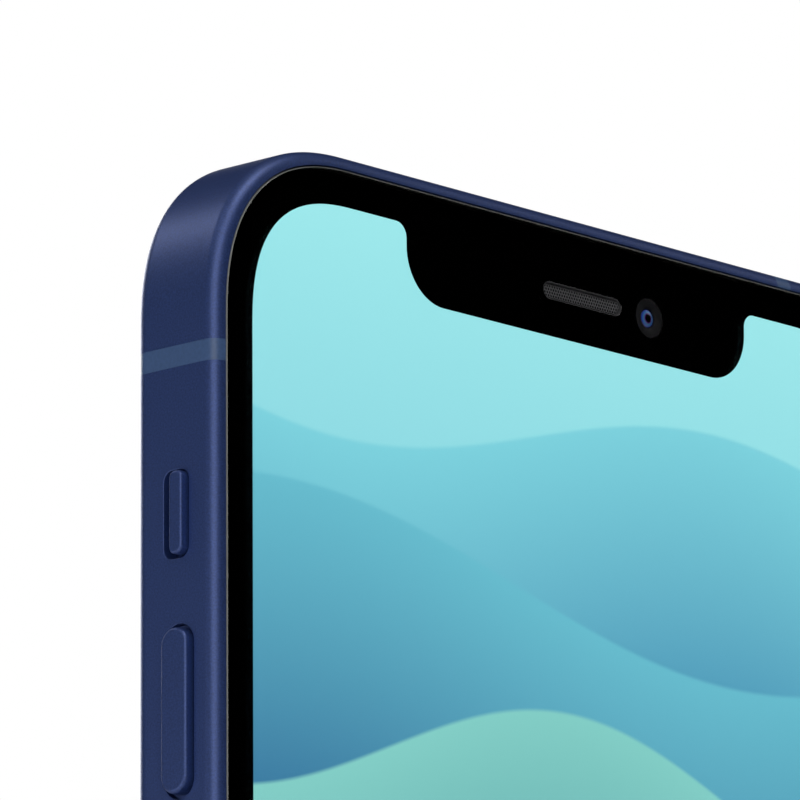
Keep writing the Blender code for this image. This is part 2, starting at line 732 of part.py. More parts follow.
def bottom_edge(metal):
    """The charging port, its two screws, the vents and the meshes behind them."""
    mouth = port_loop(PORT_WIDTH + 0.3, PORT_HEIGHT + 0.3)
    throat = port_loop(PORT_WIDTH, PORT_HEIGHT)
    levels = [(mouth, -0.2), (mouth, 0.0), (throat, 0.15), (throat, 3.0)]
    cut(metal, upright("tool_port", levels, "steel"))
    outer = port_loop(PORT_WIDTH - 0.2, PORT_HEIGHT - 0.2)
    inner = port_loop(8.34, 2.56)
    levels = [(outer, 7.3), (outer, 0.5), (inner, 0.5), (inner, 6.9)]
    upright("charging_port", levels, "steel")
    tongue = port_loop(6.69, 0.7)
    upright("charging_port_tongue", [(tongue, 1.5), (tongue, 6.85)], "black_plastic")
    for side, sign in (("left", -1), ("right", 1)):
        x = sign * SCREW_X
        hole = [(0.88, -0.2), (0.88, 3.0)]
        cut(metal, turned(f"tool_screw_{side}", (x, MIDDLE), hole, "steel", axis="z", segments=16))
        shape = [(0.55, 4.6), (0.55, 1.0), (0.8, 1.0), (0.8, 0.32), (0.7, 0.22)]
        screw = turned(f"bottom_screw_{side}", (x, MIDDLE), shape, "band_blue", axis="z", segments=16)
        socket = [(0.36, 0.0), (0.36, 0.7)]
        cut(screw, turned(f"tool_socket_{side}", (x, MIDDLE), socket, "steel", axis="z", segments=6))
    rows = (("speaker_mesh", 1, SPEAKER_VENTS), ("microphone_mesh", -1, MICROPHONE_VENTS))
    for name, sign, count in rows:
        for i in range(count):
            x = sign * (VENT_START + VENT_PITCH * i)
            hole = [(VENT_RADIUS, -0.2), (VENT_RADIUS, 3.0)]
            tool = turned(f"tool_vent_{sign}_{i}", (x, MIDDLE), hole, "steel", axis="z", segments=10)
            cut(metal, tool)
        ends = sorted(sign * (VENT_START + VENT_PITCH * i) for i in (-0.5, count - 0.4))
        block(name, ends, (2.5, 4.9), (WALL + SLIDING, 2.45), "dark_mesh")


# Inside


def insides():
    """The battery, the board and what else fills the cavity."""
    block("battery", (-6.5, 30.8), (1.7, 5.7), (24.0, 111.5), "battery_wrap", 1.2)
    board = block("logic_board", (-31.0, -8.5), (4.6, 5.2), (45.0, 134.0), "board_green", 0.8)
    arm = block("tool_board_arm", (-12.0, 3.6), (4.6, 5.2), (116.0, 134.0), "board_green", 0.8)
    add(board, arm)
    block("processor_shield", (-29.5, -10.0), (2.4, 4.5), (74.0, 108.0), "steel", 0.8)
    block("radio_shield", (-29.5, 1.5), (2.6, 4.5), (118.5, 132.5), "steel", 0.8)
    block("loudspeaker", (9.6, 28.2), (1.7, 5.7), (4.4, 21.5), "black_plastic", 1.2)
    case = block("vibration_motor", (-28.2, -9.2), (1.7, 5.7), (4.8, 15.2), "steel", 1.0)
    cut(case, block("tool_motor_cavity", (-27.8, -9.6), (1.0, 5.3), (5.2, 14.8), "steel", 0.7))
    mass_x = (-26.2, -11.2)
    pivot = (sum(mass_x) / 2, 3.7, 10.0)
    block("vibration_mass", mass_x, (2.1, 5.1), (5.6, 14.4), "steel", 0.7, pivot=pivot)


def main():
    """Builds every piece of the phone."""
    clear_scene()
    metal = band()
    side_controls(metal["left"], metal["right"])
    sim_parts(metal["left"])
    front_stack()
    rear_stack()
    bottom_edge(metal["band_bottom_right"])
    insides()


main()
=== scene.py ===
"""The looks of a flat-sided smartphone: fine meshes, materials, lights and the camera.

Lengths are millimetres in phone coordinates: x across the phone, d back from the front
glass, z up from the bottom edge. A length called u is a depth inwards from the outer
side of the metal band. world() turns them into metres in the frame.
"""

import json
import math

import bmesh
import bpy
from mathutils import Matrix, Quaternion, Vector

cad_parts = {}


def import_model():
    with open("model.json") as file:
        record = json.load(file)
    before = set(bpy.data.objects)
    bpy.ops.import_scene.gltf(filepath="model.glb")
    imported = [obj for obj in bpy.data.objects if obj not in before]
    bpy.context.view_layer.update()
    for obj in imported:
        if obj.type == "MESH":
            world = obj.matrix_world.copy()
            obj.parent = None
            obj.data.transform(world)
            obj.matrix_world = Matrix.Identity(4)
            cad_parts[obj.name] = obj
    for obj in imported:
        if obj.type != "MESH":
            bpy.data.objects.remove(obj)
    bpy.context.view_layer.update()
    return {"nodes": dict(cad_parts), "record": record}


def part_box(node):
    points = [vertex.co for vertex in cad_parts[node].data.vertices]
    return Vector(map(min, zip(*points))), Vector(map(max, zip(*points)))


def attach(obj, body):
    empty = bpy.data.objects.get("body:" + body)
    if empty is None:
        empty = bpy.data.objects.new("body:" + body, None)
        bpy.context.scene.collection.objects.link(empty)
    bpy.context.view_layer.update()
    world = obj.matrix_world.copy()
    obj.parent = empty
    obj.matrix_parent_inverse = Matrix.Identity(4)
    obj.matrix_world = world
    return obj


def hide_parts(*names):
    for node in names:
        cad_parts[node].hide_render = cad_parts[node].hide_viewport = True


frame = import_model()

# Sizes read from the frame
MM = 0.001
band_low, band_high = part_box("band_left")
FRONT_Y = band_low.y / MM
HALF_WIDTH = -band_low.x / MM
THICK = (band_high.y - band_low.y) / MM
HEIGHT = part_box("band_top_left")[1].z / MM
INSERT_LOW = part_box("antenna_insert_left_top")[0].z / MM
INSERT_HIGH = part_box("antenna_insert_left_top")[1].z / MM
MIDDLE = THICK / 2

# The band, as in the solids
CORNER = 12.74
CORNER_POWER = 2.33
FRONT_FILLET = 1.0
REAR_FILLET = 1.25
WALL = 2.1
LEDGE = 1.22
REAR_LEDGE = 6.55
SEAM = 0.006
GASKET = (1.02, 1.16, 2.05)
GLASS_INSET = 1.17
DISPLAY_CORNER = 9.8
DISPLAY_POWER = 2.6
NOTCH_HALF = 17.15
NOTCH_DEPTH = 8.60
NOTCH_OUTER_RADIUS = 1.0
NOTCH_INNER_RADIUS = 3.6
RING_SLOT = {"d": (2.38, 4.60), "z": (118.18, 124.00), "radius": 0.75}
RING_LEVER = {"d": (2.48, 3.63), "z": (118.35, 123.83), "radius": 0.5}
POCKET_U = 1.15
BUTTON_PROUD = 0.6
SLOT_WIDTH = 2.56
VOLUME_MIDDLE = 3.21
BUTTON_GAP = 0.14
BUTTON_END_GAP = 0.30
VOLUME_LENGTH = 11.4
SIDE_LENGTH = 17.6
SIM_SLOT = (2.2, 15.6)
PIN_HOLE_RADIUS = 0.42
PORT_WIDTH = 9.1
PORT_HEIGHT = 3.4
VENT_START = 11.6
VENT_PITCH = 2.15
VENT_RADIUS = 0.75
SPEAKER_VENTS = 6
MICROPHONE_VENTS = 4
LENS_TUBE = 5.5
PLATEAU_TOP = 8.0
PLATEAU_RADIUS = 7.0
EARPIECE = (1.2, 7.9)
EARPIECE_MESH = (0.14, 0.19)
EARPIECE_CLOTH = (0.40, 0.42)
EARPIECE_HOLE_SHARE = 0.78
FRONT_GLASS_THICK = 0.6
MASK = (0.61, 0.64)
PANEL = (0.66, 0.90)
EYE_RADIUS = 1.42
FRONT_LENS_RADIUS = 0.66
REAR_LENS_RADIUS = 1.9
REAR_GLASS_FRONT = 6.60
CUT_LOW = 6.0
CUT_HIGH = 9.0
MOUTH = 0.06
MESH_PITCH = 0.25

# Smoothness of the fine meshes
CORNER_STEPS = 48
FILLET_STEPS = 14
ARC_STEPS = 24
ROUND = 96

# The camera and its aim, in phone coordinates
CAMERA_DISTANCE = 550.0
CAMERA_AZIMUTH = -47.381
CAMERA_ELEVATION = 13.374
CAMERA_ROLL = -0.364
CAMERA_AIM = (-18.26, 0.0, 131.01)
FOCAL_LENGTH = 377.15
SENSOR = 36.0


def world(x, d, z):
    """Phone coordinates in millimetres to world metres."""
    return Vector((x, d + FRONT_Y, z)) * MM


def centre_of(node):
    """The middle of a CAD node's box, in phone coordinates."""
    low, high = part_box(node)
    middle = (low + high) / 2 / MM
    return middle.x, middle.y - FRONT_Y, middle.z


def make_camera():
    """A long lens on the upper left front corner, from a little above the floor."""
    data = bpy.data.cameras.new("camera")
    data.lens = FOCAL_LENGTH
    data.sensor_width = SENSOR
    data.clip_start = 0.01
    camera = bpy.data.objects.new("camera", data)
    azimuth = math.radians(CAMERA_AZIMUTH)
    rise = math.radians(CAMERA_ELEVATION)
    back = Vector((
        math.sin(azimuth) * math.cos(rise), -math.cos(azimuth) * math.cos(rise), -math.sin(rise)
    ))
    camera.location = world(*CAMERA_AIM) + back * CAMERA_DISTANCE * MM
    camera.rotation_mode = "QUATERNION"
    level = (-back).to_track_quat("-Z", "Y")
    camera.rotation_quaternion = level @ Quaternion((0, 0, 1), math.radians(CAMERA_ROLL))
    bpy.context.scene.collection.objects.link(camera)
    bpy.context.scene.camera = camera


# Colours and materials


def linear(red, green, blue):
    """A colour given as screen values from 0 to 255, as linear light."""
    values = []
    for value in (red, green, blue):
        share = value / 255
        values.append(share / 12.92 if share <= 0.04045 else ((share + 0.055) / 1.055) ** 2.4)
    return (*values, 1.0)


class Shader:
    """A material under construction: one Principled shader and the nodes that feed it."""

    def __init__(self, name, **values):
        self.material = bpy.data.materials.new(name)
        self.material.use_nodes = True
        self.nodes = self.material.node_tree.nodes
        self.links = self.material.node_tree.links
        self.main = self.nodes["Principled BSDF"]
        self.out = self.nodes["Material Output"]
        self.place = self.nodes.new("ShaderNodeTexCoord").outputs["Object"]
        for key, value in values.items():
            self.main.inputs[key.replace("_", " ").title().replace("Ior", "IOR")].default_value = value

    def node(self, kind, inputs=None, **settings):
        """A new node, with its settings and its inputs as values or links."""
        node = self.nodes.new(kind)
        for key, value in settings.items():
            setattr(node, key, value)
        for key, value in (inputs or {}).items():
            if isinstance(value, bpy.types.NodeSocket):
                self.links.new(value, node.inputs[key])
            else:
                node.inputs[key].default_value = value
        return node

    def math(self, operation, *values):
        """The result of one Math node."""
        node = self.node("ShaderNodeMath", dict(enumerate(values)), operation=operation)
        return node.outputs[0]

    def noise(self, per_mm, detail=2.0, roughness=0.5):
        """Noise with so many features for each millimetre."""
        inputs = {
            "Vector": self.place, "Scale": per_mm / MM, "Detail": detail, "Roughness": roughness,
        }
        return self.node("ShaderNodeTexNoise", inputs).outputs["Fac"]

    def ramp(self, factor, stops, interpolation="LINEAR"):
        """A colour ramp through (position, colour) stops."""
        node = self.node("ShaderNodeValToRGB", {"Fac": factor})
        node.color_ramp.interpolation = interpolation
        elements = node.color_ramp.elements
        while len(elements) < len(stops):
            elements.new(0.5)
        for element, (position, colour) in zip(elements, stops):
            element.position = position
            element.color = colour
        return node.outputs["Color"]

    def range(self, factor, low, high):
        """A factor from 0 to 1 spread between two values."""
        inputs = {"Value": factor, "To Min": low, "To Max": high}
        return self.node("ShaderNodeMapRange", inputs).outputs["Result"]

    def feed(self, socket, value):
        self.links.new(value, self.main.inputs[socket])

    def bump(self, height, depth_mm, strength=1.0):
        """Relief of so many millimetres."""
        inputs = {"Height": height, "Distance": depth_mm * MM, "Strength": strength}
        self.feed("Normal", self.node("ShaderNodeBump", inputs).outputs["Normal"])


def anodised(name, colour, roughness, metallic):
    """Bead-blasted, dyed metal: an even fine grain, with a slight drift of gloss."""
    shader = Shader(name, metallic=metallic, specular_ior_level=0.9)
    grain = shader.noise(8.0, 3.0, 0.7)
    tone = [tuple(c * k for c in colour[:3]) + (1.0,) for k in (0.80, 1.20)]
    shader.feed("Base Color", shader.ramp(grain, [(0.36, tone[0]), (0.64, tone[1])]))
    shader.feed("Roughness", shader.range(shader.noise(0.05, 2.0), roughness - 0.03, roughness + 0.03))
    shader.bump(grain, 0.006, 0.6)
    return shader.material


def moulded(name, colour, roughness, relief=0.004, per_mm=4.0, shine=0.5):
    """Moulded plastic with a fine spark-eroded grain."""
    shader = Shader(name, specular_ior_level=shine)
    grain = shader.noise(per_mm, 4.0, 0.6)
    tone = [tuple(c * k for c in colour[:3]) + (1.0,) for k in (0.92, 1.08)]
    shader.feed("Base Color", shader.ramp(grain, [(0.35, tone[0]), (0.65, tone[1])]))
    shader.feed("Roughness", shader.range(grain, roughness - 0.06, roughness + 0.06))
    shader.bump(grain, relief, 0.5)
    return shader.material


def pressed_metal(name, colour, roughness):
    """Rolled or turned metal, with streaks along the phone."""
    shader = Shader(name, metallic=1.0)
    stretch = shader.node("ShaderNodeMapping", {"Vector": shader.place, "Scale": (1.0, 1.0, 0.06)})
    inputs = {"Vector": stretch.outputs["Vector"], "Scale": 4.0 / MM, "Detail": 3.0}
    streak = shader.node("ShaderNodeTexNoise", inputs).outputs["Fac"]
    tone = [tuple(c * k for c in colour[:3]) + (1.0,) for k in (0.85, 1.1)]
    shader.feed("Base Color", shader.ramp(streak, [(0.3, tone[0]), (0.7, tone[1])]))
    shader.feed("Roughness", shader.range(streak, roughness - 0.08, roughness + 0.08))
    shader.bump(streak, 0.002, 0.4)
    return shader.material


def clear_glass(name, tint=(1.0, 1.0, 1.0, 1.0)):
    """Polished cover glass. Lamps shine through it on what lies behind."""
    shader = Shader(name, base_color=tint, roughness=0.0, ior=1.5, transmission_weight=1.0)
    rays = shader.node("ShaderNodeLightPath")
    clear = shader.node("ShaderNodeBsdfTransparent")
    mix = shader.node("ShaderNodeMixShader", {"Fac": rays.outputs["Is Shadow Ray"]})
    shader.links.new(shader.main.outputs[0], mix.inputs[1])
    shader.links.new(clear.outputs[0], mix.inputs[2])
    shader.links.new(mix.outputs[0], shader.out.inputs["Surface"])
    return shader.material


def backed_glass(name, colour):
    """Polished glass with colour behind it."""
    shader = Shader(name, coat_weight=1.0, coat_roughness=0.02, ior=1.5)
    drift = shader.noise(0.03, 1.0)
    tone = [tuple(c * k for c in colour[:3]) + (1.0,) for k in (0.93, 1.07)]
    shader.feed("Base Color", shader.ramp(drift, [(0.3, tone[0]), (0.7, tone[1])]))
    shader.feed("Roughness", shader.range(shader.noise(3.0), 0.30, 0.36))
    return shader.material


def ink(name):
    """Black ink printed behind the glass, with hardly any gloss."""
    shader = Shader(name, specular_ior_level=0.0)
    grain = shader.noise(6.0, 3.0)
    black, faint = (0.0, 0.0, 0.0, 1.0), (0.0004, 0.0004, 0.0004, 1.0)
    shader.feed("Base Color", shader.ramp(grain, [(0.3, black), (0.7, faint)]))
    shader.feed("Roughness", shader.range(grain, 0.7, 0.9))
    return shader.material


def fine_mesh(name, colour):
    """Woven wire, by two crossed waves."""
    shader = Shader(name, metallic=0.7)
    waves = []
    for direction in ("X", "Z"):
        inputs = {"Vector": shader.place, "Scale": 1.6 / MM}
        wave = shader.node("ShaderNodeTexWave", inputs, bands_direction=direction)
        waves.append(wave.outputs["Fac"])
    weave = shader.math("MULTIPLY", *waves)
    dark = tuple(c * 0.25 for c in colour[:3]) + (1.0,)
    shader.feed("Base Color", shader.ramp(weave, [(0.0, dark), (0.6, colour)]))
    shader.feed("Roughness", shader.range(weave, 0.6, 0.35))
    shader.bump(weave, 0.05)
    return shader.material


def display_picture(name):
    """A lit picture of broad soft waves, each deeper in colour than the one behind it."""
    shader = Shader(name, base_color=(0.0, 0.0, 0.0, 1.0), roughness=0.3)
    split = shader.node("ShaderNodeSeparateXYZ", {"Vector": shader.place})
    x = shader.math("DIVIDE", split.outputs["X"], MM)
    z = shader.math("DIVIDE", split.outputs["Z"], MM)
    down = shader.math("MULTIPLY_ADD", z, -1 / HEIGHT, 1.0)
    colour = shader.ramp(down, [(0.0, linear(162, 238, 240)), (0.35, linear(108, 190, 212))])
    for crest, swing, length, phase, near, far in WAVES:
        turn = shader.math("MULTIPLY_ADD", x, 2 * math.pi / length, phase)
        edge = shader.math("MULTIPLY_ADD", shader.math("SINE", turn), swing, crest)
        depth = shader.math("SUBTRACT", edge, z)
        shade = shader.ramp(shader.math("DIVIDE", depth, WAVE_FADE), [(0.0, near), (1.0, far)])
        inside = shader.node("ShaderNodeMapRange", {"Value": depth, "From Max": 0.3}).outputs["Result"]
        mix = shader.node("ShaderNodeMix", {"Factor": inside}, data_type="RGBA")
        shader.links.new(colour, mix.inputs[6])
        shader.links.new(shade, mix.inputs[7])
        colour = mix.outputs[2]
    shader.feed("Emission Color", colour)
    shader.main.inputs["Emission Strength"].default_value = DISPLAY_GLOW
    return shader.material


def lens_radius(shader, node):
    """The distance in millimetres from a lens axis, in object coordinates."""
    cx, _, cz = centre_of(node)
    split = shader.node("ShaderNodeSeparateXYZ", {"Vector": shader.place})
    x = shader.math("SUBTRACT", shader.math("DIVIDE", split.outputs["X"], MM), cx)
    z = shader.math("SUBTRACT", shader.math("DIVIDE", split.outputs["Z"], MM), cz)
    squares = shader.math("ADD", shader.math("MULTIPLY", x, x), shader.math("MULTIPLY", z, z))
    return shader.math("SQRT", squares)


def lens_with_painted_glints(name, node, reach, stops):
    """A lens with painted glints: its colour changes in soft rings round its axis, and the rings stand
    in for the coating's reflections.
    """
    shader = Shader(name, coat_weight=1.0, coat_roughness=0.0, ior=1.6)
    share = shader.math("DIVIDE", lens_radius(shader, node), reach)
    shader.feed("Base Color", shader.ramp(share, stops))
    shader.feed("Roughness", shader.range(share, 0.05, 0.15))
    return shader.material


def circuit_board(name):
    """Green solder mask over faint tracks."""
    shader = Shader(name, coat_weight=0.4, coat_roughness=0.2)
    inputs = {"Vector": shader.place, "Scale": 0.45 / MM, "Randomness": 0.3}
    cells = shader.node("ShaderNodeTexVoronoi", inputs, distance="MANHATTAN", feature="F1")
    stops = [(0.2, linear(18, 62, 48)), (0.5, linear(12, 44, 38)), (0.9, linear(30, 84, 60))]
    shader.feed("Base Color", shader.ramp(cells.outputs["Distance"], stops))
    shader.feed("Roughness", shader.range(cells.outputs["Distance"], 0.35, 0.5))
    shader.bump(cells.outputs["Distance"], 0.03)
    return shader.material


def coil_windings(name):
    """Copper wire wound round the coil's centre."""
    shader = Shader(name, metallic=1.0)
    x, _, z = centre_of("charging_coil")
    shift = shader.node("ShaderNodeMapping", {"Vector": shader.place, "Location": (-x * MM, 0, -z * MM)})
    inputs = {"Vector": shift.outputs["Vector"], "Scale": 0.55 / MM}
    turns = shader.node("ShaderNodeTexWave", inputs, wave_type="RINGS", rings_direction="Y")
    stops = [(0.0, linear(92, 52, 30)), (0.7, linear(214, 140, 94))]
    shader.feed("Base Color", shader.ramp(turns.outputs["Fac"], stops))
    shader.feed("Roughness", shader.range(turns.outputs["Fac"], 0.5, 0.3))
    shader.bump(turns.outputs["Fac"], 0.05)
    return shader.material


# Painted glints: lens tints that stand in for the coatings' reflections, from the axis of a lens to its
# rim
REAR_PAINTED_GLINTS = [
    (0.0, linear(6, 8, 18)), (0.35, linear(16, 20, 58)), (0.6, linear(44, 30, 84)),
    (0.8, linear(20, 44, 66)), (1.0, linear(8, 10, 16)),
]
# The front lens: a black middle, then violet, teal and blue rings, painted glints that show as two
# crescents either side of its axis
FRONT_PAINTED_GLINTS = [
    (0.0, linear(0, 0, 0)), (0.38, linear(0, 0, 0)), (0.50, linear(84, 44, 110)),
    (0.64, linear(52, 112, 150)), (0.82, linear(40, 70, 160)), (1.0, linear(10, 8, 34)),
]

# Brightness of the picture, set so that it reads right through the glass
DISPLAY_GLOW = 1.08

# The picture's waves: crest height, swing, length and phase, then the tones near and far
WAVE_FADE = 26.0
WAVES = (
    (131.0, 3.2, 74.0, 0.4, linear(126, 212, 224), linear(52, 128, 172)),
    (120.5, 3.8, 88.0, 3.6, linear(104, 190, 208), linear(40, 98, 148)),
    (108.0, 4.6, 70.0, 1.7, linear(132, 208, 200), linear(58, 136, 150)),
    (88.0, 5.4, 104.0, 4.9, linear(92, 170, 186), linear(36, 86, 136)),
    (62.0, 6.0, 82.0, 2.6, linear(78, 150, 174), linear(34, 72, 122)),
    (34.0, 5.0, 118.0, 0.9, linear(62, 128, 160), linear(28, 56, 104)),
)


LOOKS = {
    "band_blue": anodised("anodised_blue", (0.027, 0.058, 0.205, 1.0), 0.42, 0.5),
    "insert_blue": moulded("insert_plastic", (0.050, 0.098, 0.220, 1.0), 0.38, 0.002),
    "clear_glass": clear_glass("cover_glass"),
    "rear_blue": backed_glass("rear_glass_blue", linear(22, 36, 84)),
    "border_black": ink("border_ink"),
    "display": display_picture("display_picture"),
    "gasket_grey": moulded("gasket_rubber", linear(150, 152, 148), 0.5),
    "dark_mesh": fine_mesh("dark_mesh", linear(66, 66, 68)),
    "steel": pressed_metal("pressed_steel", linear(186, 188, 192), 0.32),
    "aluminium": pressed_metal("machined_aluminium", linear(200, 202, 205), 0.4),
    "copper": coil_windings("copper_windings"),
    "board_green": circuit_board("circuit_board"),
    "black_plastic": moulded("black_plastic", linear(26, 26, 28), 0.45),
    "battery_wrap": moulded("battery_wrap", linear(34, 34, 36), 0.4, 0.01, 1.0),
    # The lens slot gets the rear tint rings, which are painted glints
    "lens_glass": lens_with_painted_glints("lens_painted_glints", "wide_lens_barrel", REAR_LENS_RADIUS, REAR_PAINTED_GLINTS),
    "flash_white": moulded("flash_lens", linear(236, 232, 214), 0.3, 0.01, 2.0),
    "signal_orange": moulded("signal_orange", linear(238, 118, 34), 0.5),
    "card_white": moulded("card_plastic", linear(224, 224, 220), 0.5),
}


def dress_cad_nodes():
    """Gives every CAD node the material of its slot."""
    for part in frame["record"]["subparts"]:
        mesh = frame["nodes"][part["node"]].data
        mesh.materials.clear()
        mesh.materials.append(LOOKS[part["material_slot"]])


# Outlines: closed lists of 2-D points


def arc_power(extent, power):
    """A quarter of a superellipse, from (extent, 0) to (0, extent), with its normals."""
    points = []
    for i in range(CORNER_STEPS + 1):
        angle = math.pi / 2 * i / CORNER_STEPS
        a = math.cos(angle) ** (2 / power) if i < CORNER_STEPS else 0.0
        b = math.sin(angle) ** (2 / power) if i > 0 else 0.0
        normal = Vector((a ** (power - 1), b ** (power - 1))).normalized()
        points.append((Vector((a, b)) * extent, normal))
    return points


def soft_rectangle(half, low, high, extent, power, inset=0.0):
    """A rectangle with continuous-curvature corners, as stations (x, z, normal x, normal z)."""
    quarter = arc_power(extent, power)
    stations = []
    for sign_x, sign_z in ((1, 1), (-1, 1), (-1, -1), (1, -1)):
        run = quarter if sign_x * sign_z > 0 else list(reversed(quarter))
        centre_x = sign_x * (half - extent)
        centre_z = high - extent if sign_z > 0 else low + extent
        for point, normal in run:
            nx, nz = sign_x * normal.x, sign_z * normal.y
            x = centre_x + sign_x * point.x - nx * inset
            z = centre_z + sign_z * point.y - nz * inset
            stations.append((x, z, nx, nz))
    return stations


def body_stations(inset=0.0):
    return soft_rectangle(HALF_WIDTH, 0.0, HEIGHT, CORNER, CORNER_POWER, inset)


def body_loop(inset):
    return [(x, z) for x, z, _, _ in body_stations(inset)]


def rounded_rectangle(x0, x1, z0, z1, radius, steps=ARC_STEPS // 2):
    """A rectangle with circular corners."""
    loop = []
    for x, z, turn in ((x1, z1, 0), (x0, z1, 1), (x0, z0, 2), (x1, z0, 3)):
        cx = x - radius if x == x1 else x + radius
        cz = z - radius if z == z1 else z + radius
        for i in range(steps + 1):
            angle = math.pi / 2 * (turn + i / steps)
            loop.append((cx + radius * math.cos(angle), cz + radius * math.sin(angle)))
    return loop


def stadium(width, length, steps=ARC_STEPS):
    """A slot outline, centred on 0, its length along the second coordinate."""
    radius = width / 2
    straight = length / 2 - radius
    loop = []
    for end in (0, 1):
        for i in range(steps + 1):
            angle = math.pi * (end + i / steps)
            shift = straight if end == 0 else -straight
            loop.append((radius * math.cos(angle), shift + radius * math.sin(angle)))
    return loop


def moved(loop, a, b):
    return [(p + a, q + b) for p, q in loop]


def circle(radius, segments=ROUND):
    turns = [2 * math.pi * i / segments for i in range(segments)]
    return [(radius * math.cos(a), radius * math.sin(a)) for a in turns]


def display_loop(margin=0.0):
    """The lit area with its notch. A positive margin makes the shape larger all round."""
    low_corner, high_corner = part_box("oled_panel")
    half = high_corner.x / MM - 0.3 + margin
    low, high = low_corner.z / MM + 0.3 - margin, high_corner.z / MM - 0.3 + margin
    stations = soft_rectangle(half, low, high, DISPLAY_CORNER, DISPLAY_POWER)
    points = [(x, z) for x, z, _, _ in stations]
    corner = CORNER_STEPS + 1
    side = NOTCH_HALF - margin
    floor = HEIGHT - NOTCH_DEPTH + margin
    outer, inner = NOTCH_OUTER_RADIUS, NOTCH_INNER_RADIUS - margin
    right = []
    for i in range(ARC_STEPS // 2 + 1):
        angle = math.pi / 2 + math.pi * i / ARC_STEPS
        right.append((side + outer + outer * math.cos(angle), high - outer + outer * math.sin(angle)))
    for i in range(ARC_STEPS + 1):
        angle = -math.pi / 2 * i / ARC_STEPS
        right.append((side - inner + inner * math.cos(angle), floor + inner + inner * math.sin(angle)))
    left = [(-x, z) for x, z in reversed(right)]
    return points[:corner] + right + left + points[corner:]


# Meshes


def tidy_normals(mesh):
    shell = bmesh.new()
    shell.from_mesh(mesh)
    bmesh.ops.recalc_face_normals(shell, faces=shell.faces)
    shell.to_mesh(mesh)
    shell.free()


def smooth(obj, degrees=32.0):
    """Smooth shading with crisp edges, and flats that stay flat beside their roundings."""
    obj.data.shade_smooth()
    obj.data.set_sharp_from_angle(angle=math.radians(degrees))
    step = obj.modifiers.new("flat_normals", "WEIGHTED_NORMAL")
    step.keep_sharp = True
    return obj


def build(name, rings, closed=False):
    """A closed mesh through rings of equal length, each a list of phone coordinates."""
    count = len(rings[0])
    points = [world(*point) for ring in rings for point in ring]
    spans = len(rings) if closed else len(rings) - 1
    faces = []
    for span in range(spans):
        here = span * count
        there = (span + 1) % len(rings) * count
        for i in range(count):
            j = (i + 1) % count
            faces.append((here + i, here + j, there + j, there + i))
    if not closed:
        faces.append(tuple(range(count)))
        faces.append(tuple(range(len(points) - count, len(points))))
    mesh = bpy.data.meshes.new(name)
    mesh.from_pydata(points, [], faces)
    tidy_normals(mesh)
    obj = bpy.data.objects.new(name, mesh)
    bpy.context.scene.collection.objects.link(obj)
    return obj


def slab(name, loop, depths):
    return build(name, [[(x, d, z) for x, z in loop] for d in depths])


def side_prism(name, sign, loops):
    """A mesh through (loop, u) pairs, each loop (d, z), stacked inwards from one side."""
    rings = [[(sign * (HALF_WIDTH - u), d, z) for d, z in loop] for loop, u in loops]
    return build(name, rings)


def upright(name, levels):
    """A mesh through (loop, z) pairs, each loop (x, d), stacked upwards."""
    return build(name, [[(x, d, z) for x, d in loop] for loop, z in levels])


def turned(name, centre, profile, closed=False, segments=ROUND):
    """A turned piece about an axis along d: profile holds (radius, depth)."""
    cx, cz = centre
    rings = [[(cx + a, d, cz + b) for a, b in circle(r, segments)] for r, d in profile]
    return build(name, rings, closed=closed)


def combine(obj, tools, operation="DIFFERENCE"):
    """Cuts the tools out of an object, or fuses them on, and removes the tools."""
    for tool in tools:
        step = obj.modifiers.new("step", "BOOLEAN")
        step.operation = operation
        step.solver = "EXACT"
        step.object = tool
    graph = bpy.context.evaluated_depsgraph_get()
    mesh = bpy.data.meshes.new_from_object(obj.evaluated_get(graph))
    obj.modifiers.clear()
    obj.data = mesh
    for tool in tools:
        bpy.data.objects.remove(tool, do_unlink=True)
    return obj


def piece(obj, node, slot=None, body=None, look=None, also=()):
    """Puts a fine mesh in place of its CAD node, riding on that node's body."""
    bodies = frame["record"]["behaviour"]["bodies"]
    owner = body or next(name for name, nodes in bodies.items() if node in nodes)
    parts = frame["record"]["subparts"]
    slot = slot or next(p["material_slot"] for p in parts if p["node"] == node)
    obj.data.materials.clear()
    obj.data.materials.append(look or LOOKS[slot])
    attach(obj, owner)
    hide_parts(node, *also)
    return obj


def detail(obj, beside, slot, look):
    """A small extra that rides with a CAD node and hides nothing."""
    bodies = frame["record"]["behaviour"]["bodies"]
    owner = next(name for name, nodes in bodies.items() if beside in nodes)
    obj.data.materials.clear()
    obj.data.materials.append(look)
    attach(obj, owner)
    return obj


# Band


def band_section():
    """The band's cross-section as (u, d): rounded outside, with a ledge for each glass."""
    section = []
    for i in range(FILLET_STEPS + 1):
        angle = math.pi / 2 * i / FILLET_STEPS
        section.append((FRONT_FILLET * (1 - math.cos(angle)), FRONT_FILLET * (1 - math.sin(angle))))
    section += [
        (FRONT_FILLET, LEDGE), (WALL, LEDGE), (WALL, REAR_LEDGE), (REAR_FILLET, REAR_LEDGE)
    ]
    for i in range(FILLET_STEPS + 1):
        angle = math.pi / 2 * (1 - i / FILLET_STEPS)
        u = REAR_FILLET * (1 - math.cos(angle))
        section.append((u, THICK - REAR_FILLET * (1 - math.sin(angle))))
    return section


def swept(name, stations, section, closed=False):
    rings = [[(x - nx * u, d, z - nz * u) for u, d in section] for x, z, nx, nz in stations]
    return build(name, rings, closed=closed)


def corner_run(sign_x, sign_z):
    """The stations of one corner, from the upright side to the flat end."""
    steps = CORNER_STEPS + 1
    start = ((1, 1), (-1, 1), (-1, -1), (1, -1)).index((sign_x, sign_z)) * steps
    run = body_stations()[start : start + steps]
    return run if sign_x * sign_z > 0 else list(reversed(run))


def side_station(sign_x, z):
    return (sign_x * HALF_WIDTH, z, sign_x, 0.0)


def end_station(x, sign_z):
    return (x, HEIGHT if sign_z > 0 else 0.0, 0.0, sign_z)


